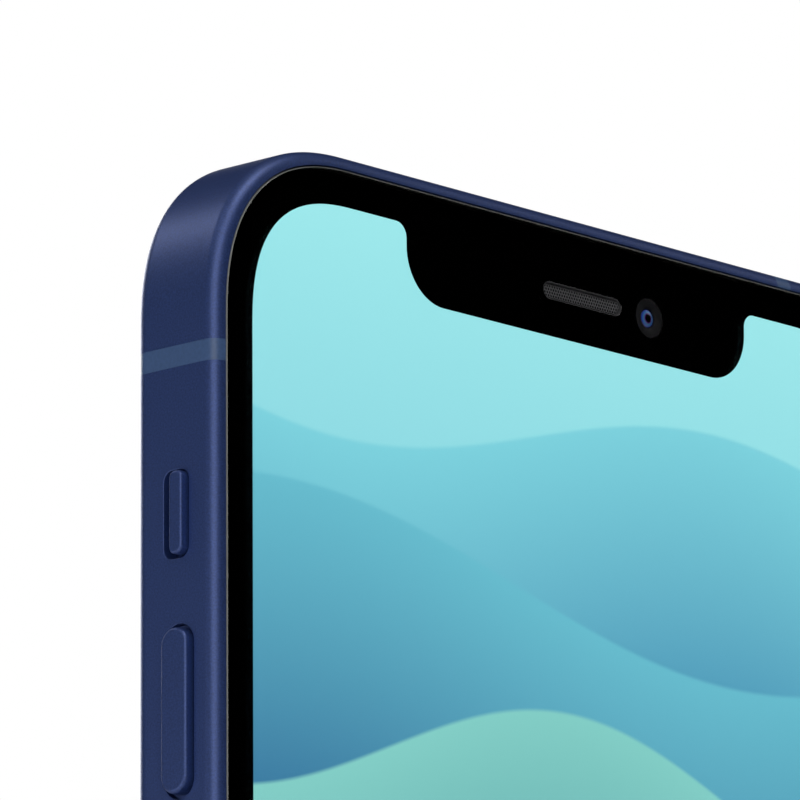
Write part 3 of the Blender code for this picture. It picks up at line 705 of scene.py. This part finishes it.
def mouth_round(steps=5):
    """(depth, growth) pairs that round the edge of an opening."""
    pairs = []
    for i in range(steps + 1):
        angle = math.pi / 2 * i / steps
        pairs.append((MOUTH * (1 - math.cos(angle)), MOUTH * (1 - math.sin(angle))))
    return pairs


def slot_tool(sign, d, z, width, length, radius=None, depth=3.0):
    """A cutter for a slot through the band wall, with a rounded mouth."""
    loops = []
    for u, grow in [(-0.3, MOUTH), *mouth_round(), (depth, 0.0)]:
        w, h = width + 2 * grow, length + 2 * grow
        if radius:
            loop = rounded_rectangle(d - w / 2, d + w / 2, z - h / 2, z + h / 2, radius + grow)
        else:
            loop = moved(stadium(w, h), d, z)
        loops.append((loop, u))
    return side_prism("tool", sign, loops)


def hole_tool(x, loop_of, depth=3.0):
    """A cutter up through the bottom edge. loop_of(grow) gives its outline round 0."""
    levels = [(moved(loop_of(grow), x, MIDDLE), z)
              for z, grow in [(-0.3, MOUTH), *mouth_round(), (depth, 0.0)]]
    return upright("tool", levels)


def port_outline(grow=0.0, width=PORT_WIDTH, height=PORT_HEIGHT):
    return [(x, d) for d, x in stadium(height + 2 * grow, width + 2 * grow)]


def left_openings():
    """The ring switch, volume and SIM slots."""
    d0, d1 = RING_SLOT["d"]
    z0, z1 = RING_SLOT["z"]
    tools = [slot_tool(-1, (d0 + d1) / 2, (z0 + z1) / 2, d1 - d0, z1 - z0, RING_SLOT["radius"])]
    pocket = rounded_rectangle(1.40, 5.95, z0 - 1.6, z1 + 1.6, 0.4)
    tools.append(side_prism("tool", -1, [(pocket, POCKET_U), (pocket, 3.0)]))
    for name in ("volume_up_button", "volume_down_button"):
        z = centre_of(name)[2]
        tools.append(slot_tool(-1, VOLUME_MIDDLE, z, SLOT_WIDTH, VOLUME_LENGTH))
    tools.append(slot_tool(-1, MIDDLE, centre_of("sim_tray")[2], *SIM_SLOT))
    return tools


def bottom_openings():
    """The port, the screw holes and the rows of vents."""
    tools = [hole_tool(0.0, port_outline)]
    for side in ("left", "right"):
        x = centre_of(f"bottom_screw_{side}")[0]
        tools.append(hole_tool(x, lambda grow: circle(0.88 + grow, 48)))
    for sign, count in ((1, SPEAKER_VENTS), (-1, MICROPHONE_VENTS)):
        for i in range(count):
            x = sign * (VENT_START + VENT_PITCH * i)
            tools.append(hole_tool(x, lambda grow: circle(VENT_RADIUS + grow, 40)))
    return tools


def make_band():
    """The six lengths of metal and the six plastic inserts between them."""
    section = band_section()
    half = (INSERT_HIGH - INSERT_LOW) / 2 + 0.02
    top = (INSERT_LOW + INSERT_HIGH) / 2
    break_x = centre_of("antenna_insert_top")[0]
    grip = half - SEAM
    for side, sign in (("left", -1), ("right", 1)):
        low, high = HEIGHT - top + half, top - half
        bar = swept(f"band_{side}.fine", [side_station(sign, low), side_station(sign, high)], section)
        if side == "left":
            combine(bar, left_openings())
        else:
            z = centre_of("side_button")[2]
            combine(bar, [slot_tool(1, VOLUME_MIDDLE, z, SLOT_WIDTH, SIDE_LENGTH)])
        piece(smooth(bar), f"band_{side}")
        for end, up in (("top", 1), ("bottom", -1)):
            start = side_station(sign, top + half if up > 0 else HEIGHT - top - half)
            last = end_station(up * break_x + sign * half, up)
            name = f"band_{end}_{side}"
            run = swept(f"{name}.fine", [start, *corner_run(sign, up), last], section)
            if name == "band_bottom_right":
                combine(run, bottom_openings())
            piece(smooth(run), name)
            z = top if up > 0 else HEIGHT - top
            name = f"antenna_insert_{side}_{end}"
            stations = [side_station(sign, z - grip), side_station(sign, z + grip)]
            piece(smooth(swept(f"{name}.fine", stations, section)), name)
    for end, up in (("top", 1), ("bottom", -1)):
        x = up * break_x
        stations = [end_station(x - grip, up), end_station(x + grip, up)]
        name = f"antenna_insert_{end}"
        piece(smooth(swept(f"{name}.fine", stations, section)), name)


# Side controls


def filleted_cap(outline, fillet, proud, steps=8):
    """(loop, u) pairs that round a cap over. outline(shrink) gives its loop."""
    loops = []
    for i in range(steps + 1):
        angle = math.pi / 2 * i / steps
        shrink = fillet * (1 - math.cos(angle))
        loops.append((outline(shrink), -proud + fillet * (1 - math.sin(angle))))
    return loops


def make_buttons():
    """The pressing buttons, each a filleted cap with its flange behind the wall."""
    rows = (
        ("volume_up_button", -1, VOLUME_LENGTH), ("volume_down_button", -1, VOLUME_LENGTH),
        ("side_button", 1, SIDE_LENGTH),
    )
    for name, sign, slot_length in rows:
        z = centre_of(name)[2]
        width = SLOT_WIDTH - 2 * BUTTON_GAP
        length = slot_length - 2 * BUTTON_END_GAP

        def outline(shrink, width=width, length=length, z=z):
            return moved(stadium(width - 2 * shrink, length - 2 * shrink), VOLUME_MIDDLE, z)

        flange = moved(stadium(width + 1.0, length + 1.4), VOLUME_MIDDLE, z)
        collar = moved(stadium(SLOT_WIDTH - 0.14, slot_length - 0.14), VOLUME_MIDDLE, z)
        loops = [(flange, 2.6), (flange, 2.2), (collar, 2.2), (collar, 0.4), (outline(0.0), 0.4)]
        loops += filleted_cap(outline, 0.25, BUTTON_PROUD)
        piece(smooth(side_prism(f"{name}.fine", sign, loops)), name)


def make_ring_switch():
    """The sliding lever on the plate that closes its slot."""
    z0, z1 = RING_SLOT["z"]
    lever_d, lever_z, corner = RING_LEVER["d"], RING_LEVER["z"], RING_LEVER["radius"]

    def outline(shrink):
        return rounded_rectangle(
            lever_d[0] + shrink, lever_d[1] - shrink,
            lever_z[0] + shrink, lever_z[1] - shrink, corner - shrink,
        )

    plate = rounded_rectangle(1.50, 4.95, z0 - 1.3, z1 + 1.3, 0.3)
    loops = [(plate, POCKET_U + 0.55), (plate, POCKET_U + 0.1), (outline(0.0), POCKET_U + 0.1)]
    loops += filleted_cap(outline, 0.2, BUTTON_PROUD)
    piece(smooth(side_prism("ring_switch.fine", -1, loops)), "ring_switch")


def make_sim_tray():
    """The tray: an oval face with its pin hole, and the frame that carries the card."""
    low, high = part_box("sim_card")
    z = centre_of("sim_tray")[2]
    width, length = SIM_SLOT[0] - 0.2, SIM_SLOT[1] - 0.2

    def outline(shrink):
        return moved(stadium(width - 2 * shrink, length - 2 * shrink), MIDDLE, z)

    tray = side_prism("sim_tray.fine", -1, [(outline(0.0), 1.6), *filleted_cap(outline, 0.06, 0.0, 4)])
    frame_loop = [(3.3, 54.6), (4.1, 54.6), (4.1, 67.5), (3.3, 67.5)]
    combine(tray, [side_prism("tool", -1, [(frame_loop, 1.4), (frame_loop, 13.6)])], "UNION")
    x0, x1 = low.x / MM - 0.05, high.x / MM + 0.05
    z0, z1 = low.z / MM - 0.05, high.z / MM + 0.05
    pocket = slab("tool", rounded_rectangle(x0, x1, z0, z1, 0.1, 2), (3.0, 4.4))
    pin_z = centre_of("sim_ejector_plunger")[2]
    hole = moved(circle(PIN_HOLE_RADIUS, 32), MIDDLE, pin_z)
    flare = moved(circle(PIN_HOLE_RADIUS + 0.08, 32), MIDDLE, pin_z)
    drill = side_prism("tool", -1, [(flare, -0.2), (flare, 0.0), (hole, 0.08), (hole, 2.0)])
    combine(tray, [pocket, drill])
    piece(smooth(tray), "sim_tray")


# Front


def perforated(name, inside, cells, depths, hole=0.62):
    """A plate of six-sided cells, each with a six-sided hole, where inside(x, z) is true."""
    x_range, z_range = cells
    front, back = depths
    pitch, rise = MESH_PITCH, MESH_PITCH * math.sqrt(3) / 2
    radius = pitch / math.sqrt(3)
    points, faces = [], []
    rows = int((z_range[1] - z_range[0]) / rise) + 1
    columns = int((x_range[1] - x_range[0]) / pitch) + 2
    for row in range(rows):
        for column in range(columns):
            cx = x_range[0] + (column + 0.5 * (row % 2)) * pitch
            cz = z_range[0] + row * rise
            if not inside(cx, cz):
                continue
            base = len(points)
            for scale, d in ((1.0, front), (hole, front), (hole, back), (1.0, back)):
                for i in range(6):
                    angle = math.pi / 3 * (i + 0.5)
                    x, z = cx + radius * scale * math.cos(angle), cz + radius * scale * math.sin(angle)
                    points.append(world(x, d, z))
            for ring in range(3):
                for i in range(6):
                    j = (i + 1) % 6
                    a = base + ring * 6
                    faces.append((a + i, a + j, a + 6 + j, a + 6 + i))
    mesh = bpy.data.meshes.new(name)
    mesh.from_pydata(points, [], faces)
    weld = bmesh.new()
    weld.from_mesh(mesh)
    bmesh.ops.remove_doubles(weld, verts=weld.verts, dist=1e-7)
    bmesh.ops.recalc_face_normals(weld, faces=weld.faces)
    weld.to_mesh(mesh)
    weld.free()
    obj = bpy.data.objects.new(name, mesh)
    bpy.context.scene.collection.objects.link(obj)
    return obj


def earpiece_loop(grow=0.0):
    _, _, line = centre_of("earpiece_mesh")
    width, length = EARPIECE
    return [(x, z + line) for z, x in stadium(width + 2 * grow, length + 2 * grow)]


def paint_shade_on_walls(obj, look):
    """Paints the ground edges of a glass with the black ink, on every face that stands upright to its
    front: painted shade that hides the lamp light the glass carries to its edges.
    """
    obj.data.materials.append(look)
    for face in obj.data.polygons:
        if abs(face.normal.y) < 0.3:
            face.material_index = 1


def make_front():
    """Cover glass, gasket, black border, lit panel, earpiece mesh and front camera."""
    rounding = 0.06
    rings = []
    for i in range(4):
        angle = math.pi / 2 * i / 3
        inset = GLASS_INSET + rounding * (1 - math.sin(angle))
        rings.append([(x, rounding * (1 - math.cos(angle)), z) for x, z in body_loop(inset)])
    rings.append([(x, FRONT_GLASS_THICK, z) for x, z in body_loop(GLASS_INSET)])
    glass = build("front_glass.fine", rings)
    flare = earpiece_loop(0.02)
    loops = [(flare, -0.3), (flare, 0.0), (earpiece_loop(), 0.02), (earpiece_loop(), 1.0)]
    combine(glass, [build("tool", [[(x, d, z) for x, z in loop] for loop, d in loops])])
    piece(smooth(glass), "front_glass")
    # The glass edges get black ink: painted shade over the lamp light that the glass carries to them
    paint_shade_on_walls(glass, LOOKS["border_black"])
    outer, inner, foot = GASKET
    section = [
        (outer, 0.45), (inner - 0.02, 0.01), (inner, 0.01), (inner, 0.66),
        (foot, 0.66), (foot, 1.16), (outer, 1.16),
    ]
    gasket = swept("front_gasket.fine", body_stations(), section, closed=True)
    piece(smooth(gasket), "front_gasket")
    camera_x, _, line = centre_of("front_camera")
    border = slab("display_mask.fine", body_loop(GLASS_INSET + 0.01), MASK)
    window = slab("tool", display_loop(), (0.3, 0.8))
    eye = turned("tool", (camera_x, line), [(EYE_RADIUS, 0.3), (EYE_RADIUS, 1.0)])
    slot = slab("tool", earpiece_loop(0.02), (0.3, 1.0))
    combine(border, [window, eye, slot])
    piece(smooth(border), "display_mask")
    piece(smooth(slab("oled_panel.fine", display_loop(0.3), PANEL)), "oled_panel")
    make_earpiece(line)
    make_front_camera(camera_x, line)


def make_earpiece(line):
    """A perforated plate in a thin rim, with a dark cloth behind."""
    width, length = EARPIECE[0] - 0.1, EARPIECE[1] - 0.1

    def inside(x, z, margin=0.06):
        reach = width / 2 - margin
        beyond = max(abs(x) - (length / 2 - width / 2), 0.0)
        return math.hypot(beyond, z - line) < reach

    cells = ((-length / 2, length / 2), (line - width / 2, line + width / 2))
    plate = perforated("earpiece_mesh.fine", inside, cells, EARPIECE_MESH, EARPIECE_HOLE_SHARE)
    smooth(plate)
    piece(plate, "earpiece_mesh", look=earpiece_metal)
    inner = earpiece_loop(-0.05)
    loops = ((-0.005, 0.59), (-0.005, 0.03), (-0.05, 0.03), (-0.05, 0.59))
    rings = [[(x, d, z) for x, z in earpiece_loop(grow)] for grow, d in loops]
    rim = build("earpiece_rim", rings, closed=True)
    detail(smooth(rim), "earpiece_mesh", "dark_mesh", earpiece_rim)
    cloth = slab("earpiece_cloth", inner, EARPIECE_CLOTH)
    detail(smooth(cloth), "earpiece_mesh", "black_plastic", LOOKS["border_black"])


def make_front_camera(x, line):
    """The dark funnel round the eye, and its small lens with painted glints."""
    centre = (x, line)
    barrel = [
        (1.9, 4.0), (1.9, 1.3), (1.38, 1.3), (1.38, 0.66), (1.34, 0.65), (0.80, 0.74),
        (0.72, 0.78), (0.68, 0.84), (0.68, 1.7),
    ]
    piece(smooth(turned("front_camera.fine", centre, barrel)), "front_camera", look=camera_ring)
    reach, shoulder, bulge, steps = FRONT_LENS_RADIUS, 0.92, 0.18, 13
    dome = [(reach, 1.65), (reach, shoulder)]
    for i in range(1, steps):
        angle = math.pi / 2 * i / steps
        dome.append((reach * math.cos(angle), shoulder - bulge * math.sin(angle)))
    lens = turned("front_camera_lens.fine", centre, dome)
    piece(smooth(lens), "front_camera_lens", look=front_lens)


# Rear


def disc_outline(centre, radius, segments=ROUND):
    return moved(circle(radius, segments), *centre)


def plateau_outline(inset=0.0):
    low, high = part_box("camera_plateau")
    x0, x1 = low.x / MM + inset, high.x / MM - inset
    z0, z1 = low.z / MM + inset, high.z / MM - inset
    return rounded_rectangle(x0, x1, z0, z1, PLATEAU_RADIUS - inset)


def rounded_slab(outline, front, back, rounding, steps=6):
    """Rings of a plate whose rear edge is rounded. outline(inset) gives its loop."""
    rings = [[(x, front, z) for x, z in outline(0.0)]]
    for i in range(steps + 1):
        angle = math.pi / 2 * i / steps
        inset = rounding * (1 - math.cos(angle))
        d = back - rounding * (1 - math.sin(angle))
        rings.append([(x, d, z) for x, z in outline(inset)])
    return rings


def make_rear():
    """Rear glass, plateau, lens rings, covers, flash and microphone."""

    def rear_outline(inset):
        return body_loop(REAR_FILLET + SEAM + inset)

    rings = rounded_slab(rear_outline, REAR_GLASS_FRONT, THICK, 0.05, 3)
    glass = build("rear_glass.fine", rings)
    combine(glass, [slab("tool", plateau_outline(-0.02), (CUT_LOW, 8.5))])
    piece(smooth(glass), "rear_glass")
    rings = rounded_slab(plateau_outline, REAR_GLASS_FRONT, PLATEAU_TOP, 0.35, 8)
    plateau = build("camera_plateau.fine", rings)
    holes = []
    for name in ("ultrawide_lens_ring", "wide_lens_ring"):
        x, _, z = centre_of(name)
        radius = LENS_TUBE + 0.02
        holes.append(turned("tool", (x, z), [(radius, CUT_LOW), (radius, CUT_HIGH)]))
    for name, radius in (("flash_window", 2.62), ("rear_microphone", 0.62)):
        x, _, z = centre_of(name)
        holes.append(turned("tool", (x, z), [(radius, CUT_LOW), (radius, CUT_HIGH)]))
    combine(plateau, holes)
    piece(smooth(plateau), "camera_plateau")
    for name in ("ultrawide", "wide"):
        make_rear_lens(name)
    make_flash()
    x, _, z = centre_of("rear_microphone")
    cells = ((x - 0.6, x + 0.6), (z - 0.6, z + 0.6))
    plate = perforated(
        "rear_microphone.fine", lambda a, b: math.hypot(a - x, b - z) < 0.5, cells, (7.80, 7.86)
    )
    piece(smooth(plate), "rear_microphone")
    profile = [(0.6, 7.0), (0.6, 7.94), (0.48, 7.94), (0.48, 7.0)]
    rim = turned("rear_microphone_rim", (x, z), profile, closed=True)
    detail(smooth(rim), "rear_microphone", "dark_mesh", LOOKS["dark_mesh"])


def make_rear_lens(name):
    """One rear camera's trim ring, cover glass and the stepped throat under it."""
    x, _, z = centre_of(f"{name}_lens_ring")
    tube, top = LENS_TUBE, PLATEAU_TOP + 0.02
    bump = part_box(f"{name}_lens_ring")[1].y / MM - FRONT_Y
    profile = [(tube - 0.5, 6.70), (tube, 6.70), (tube, top), (tube + 0.8, top)]
    for i in range(9):
        angle = math.pi / 2 * i / 8
        profile.append((tube + 0.55 + 0.25 * math.cos(angle), bump - 0.25 + 0.25 * math.sin(angle)))
    for i in range(5):
        angle = math.pi / 2 * i / 4
        profile.append((tube - 0.38 - 0.12 * math.sin(angle), bump - 0.12 + 0.12 * math.cos(angle)))
    piece(smooth(turned(f"{name}_lens_ring.fine", (x, z), profile, closed=True)), f"{name}_lens_ring")
    cover = tube - 0.52
    disc = [(cover, 8.4), (cover, 8.61), (cover - 0.04, 8.65)]
    window = turned(f"{name}_lens_cover.fine", (x, z), disc)
    piece(smooth(window), f"{name}_lens_cover", look=LOOKS["clear_glass"])
    barrel_node = "wide_lens_barrel" if name == "wide" else "ultrawide_camera"
    steps = [(3.85, 8.11), (3.85, 8.13), (3.5, 8.13), (3.4, 8.11)]
    trim = turned(f"{name}_throat_ring", (x, z), steps, closed=True)
    detail(smooth(trim), barrel_node, "black_plastic", LOOKS["black_plastic"])
    reach = 1.86 if name == "wide" else 1.7
    dome = [(reach, 7.62), (reach, 7.72)]
    for i in range(1, 17):
        angle = math.pi / 2 * i / 17
        dome.append((reach * math.cos(angle), 7.72 + 0.34 * math.sin(angle)))
    lens = turned(f"{name}_front_lens", (x, z), dome)
    # Each rear lens dome's colour rings are painted glints
    look = lens_with_painted_glints(f"{name}_coating", f"{name}_lens_ring", REAR_LENS_RADIUS, REAR_PAINTED_GLINTS)
    detail(smooth(lens), barrel_node, "lens_glass", look)


def make_flash():
    """A clear cover over two warm emitters on a pale base."""
    x, _, z = centre_of("flash_window")
    cover = build("flash_window.fine", rounded_slab(
        lambda i: disc_outline((x, z), 2.58 - i), 7.62, 7.97, 0.12, 4
    ))
    piece(smooth(cover), "flash_window", look=LOOKS["clear_glass"])
    base = turned("flash_base", (x, z), [(2.56, 7.0), (2.56, 7.30)])
    detail(smooth(base), "flash_window", "flash_white", LOOKS["flash_white"])
    for i, offset in enumerate((-0.85, 0.85)):
        loop = rounded_rectangle(x - 0.8, x + 0.8, z + offset - 0.65, z + offset + 0.65, 0.15, 4)
        emitter = slab(f"flash_emitter_{i}", loop, (7.305, 7.45))
        detail(smooth(emitter), "flash_window", "flash_white", phosphor)


# Bottom edge


def make_bottom():
    """The port's shell and tongue with its contacts, and the two screws."""
    shell = [
        (port_outline(0.0, PORT_WIDTH - 0.2, PORT_HEIGHT - 0.2), 7.3),
        (port_outline(0.0, PORT_WIDTH - 0.2, PORT_HEIGHT - 0.2), 0.55),
        (port_outline(0.0, PORT_WIDTH - 0.3, PORT_HEIGHT - 0.3), 0.5),
        (port_outline(0.0, 8.40, 2.62), 0.5), (port_outline(0.0, 8.34, 2.56), 0.56),
        (port_outline(0.0, 8.34, 2.56), 6.9),
    ]
    levels = [(moved(loop, 0.0, MIDDLE), z) for loop, z in shell]
    piece(smooth(upright("charging_port.fine", levels)), "charging_port")
    tip, blade = port_outline(0.0, 6.5, 0.5), port_outline(0.0, 6.69, 0.7)
    tongue = [(tip, 1.5), (blade, 1.62), (blade, 6.85)]
    levels = [(moved(loop, 0.0, MIDDLE), z) for loop, z in tongue]
    piece(smooth(upright("charging_port_tongue.fine", levels)), "charging_port_tongue")
    for row, sign in enumerate((-1, 1)):
        for i in range(12):
            x = (i - 5.5) * 0.5
            d = MIDDLE + sign * 0.35
            depths = sorted((d, d + sign * 0.03))
            loop = rounded_rectangle(x - 0.13, x + 0.13, 1.8, 5.6, 0.05, 2)
            pad = slab(f"port_contact_{row}_{i}", loop, depths)
            detail(smooth(pad), "charging_port_tongue", "steel", contact_gold)
    for side in ("left", "right"):
        name = f"bottom_screw_{side}"
        x = centre_of(name)[0]
        profile = [(0.55, 4.6), (0.55, 1.0), (0.8, 1.0), (0.8, 0.32), (0.77, 0.26), (0.7, 0.22)]
        screw = upright(f"{name}.fine", [(moved(circle(r, 48), x, MIDDLE), z) for r, z in profile])
        socket = moved(circle(0.36, 6), x, MIDDLE)
        combine(screw, [upright("tool", [(socket, 0.0), (socket, 0.7)])])
        piece(smooth(screw), name)


# Stage


def softbox(name, direction, distance, size, power):
    """A white rectangular lamp that looks at the phone from a direction."""
    data = bpy.data.lights.new(name, "AREA")
    data.shape = "RECTANGLE"
    data.size, data.size_y = size
    data.energy = power
    lamp = bpy.data.objects.new(name, data)
    away = Vector(direction).normalized()
    lamp.location = world(*LAMP_TARGET) + away * distance
    lamp.rotation_mode = "QUATERNION"
    lamp.rotation_quaternion = (-away).to_track_quat("-Z", "Y")
    lamp.visible_camera = False
    bpy.context.scene.collection.objects.link(lamp)


def make_stage():
    """A pale floor, a white surround and soft lamps round the phone."""
    bpy.ops.mesh.primitive_plane_add(size=6.0, location=(0.0, 0.0, 0.0))
    floor = bpy.context.object
    floor.name = "floor"
    paper = Shader("pale_paper", base_color=(0.86, 0.86, 0.86, 1.0), roughness=0.9)
    paper.bump(paper.noise(0.6, 3.0), 0.02, 0.3)
    floor.data.materials.append(paper.material)
    sky = bpy.data.worlds.new("surround")
    sky.use_nodes = True
    nodes, links = sky.node_tree.nodes, sky.node_tree.links
    rays = nodes.new("ShaderNodeLightPath")
    seen = nodes["Background"]
    seen.inputs["Color"].default_value = (1.0, 1.0, 1.0, 1.0)
    lit = nodes.new("ShaderNodeBackground")
    lit.inputs["Color"].default_value = (1.0, 1.0, 1.0, 1.0)
    towards = nodes.new("ShaderNodeVectorMath")
    towards.operation = "DOT_PRODUCT"
    towards.inputs[1].default_value = Vector(SURROUND_SIDE).normalized()
    spread = nodes.new("ShaderNodeMapRange")
    spread.inputs["From Min"].default_value = -0.4
    spread.inputs["To Max"].default_value = SURROUND
    links.new(nodes.new("ShaderNodeTexCoord").outputs["Generated"], towards.inputs[0])
    links.new(towards.outputs["Value"], spread.inputs["Value"])
    links.new(spread.outputs["Result"], lit.inputs["Strength"])
    mix = nodes.new("ShaderNodeMixShader")
    links.new(rays.outputs["Is Camera Ray"], mix.inputs[0])
    links.new(lit.outputs[0], mix.inputs[1])
    links.new(seen.outputs[0], mix.inputs[2])
    links.new(mix.outputs[0], nodes["World Output"].inputs["Surface"])
    bpy.context.scene.world = sky
    bpy.context.scene.view_settings.view_transform = "Standard"
    for lamp in LAMPS:
        softbox(*lamp)


# The point that every lamp looks at, in phone coordinates
LAMP_TARGET = (0.0, 3.7, 110.0)

# Each lamp's name, direction from the phone, distance, size and power
LAMPS = (
    ("left_back", (-0.72, 0.65, 0.10), 0.9, (0.8, 1.1), 0.08),
    ("left_low", (-0.85, 0.30, -0.16), 0.26, (0.20, 0.10), 0.08),
    ("front_left", (-0.77, -0.60, 0.30), 0.9, (0.62, 1.2), 4.4),
    ("front_top", (-0.05, -0.40, 0.92), 0.9, (0.60, 0.36), 2.3),
    ("corner_top", (-0.33, 0.65, 0.68), 0.8, (0.20, 0.14), 0.42),
    ("corner_side", (-0.60, 0.14, 0.77), 0.9, (0.20, 0.30), 0.3),
    ("top_right", (0.73, -0.36, 0.57), 0.9, (0.40, 0.36), 0.3),
    ("rear_fill", (0.35, 0.88, 0.30), 1.1, (0.6, 0.35), 3.0),
    ("right_back", (0.84, 0.44, 0.32), 0.9, (0.7, 0.44), 0.5),
    ("overhead", (0.0, 0.1, 1.0), 1.0, (0.8, 0.8), 0.32),
)


# The surround glows on one side of the phone and is dark on the other
SURROUND = 0.027
SURROUND_SIDE = (-0.75, 0.60, 0.25)

earpiece_rim = moulded("earpiece_rim", linear(64, 64, 66), 0.4, 0.001)
earpiece_metal = moulded("earpiece_metal", linear(92, 92, 94), 0.4, 0.001)
camera_ring = moulded("camera_ring", linear(16, 16, 18), 0.6, 0.001, shine=0.15)
# The front lens's colour rings are painted glints
front_lens = lens_with_painted_glints(
    "front_lens_coating", "front_camera_lens", FRONT_LENS_RADIUS, FRONT_PAINTED_GLINTS
)
phosphor = moulded("phosphor", linear(240, 196, 70), 0.5)
contact_gold = pressed_metal("contact_gold", linear(214, 170, 92), 0.3)


make_camera()
dress_cad_nodes()
make_band()
make_buttons()
make_ring_switch()
make_sim_tray()
make_front()
make_rear()
make_bottom()
make_stage()
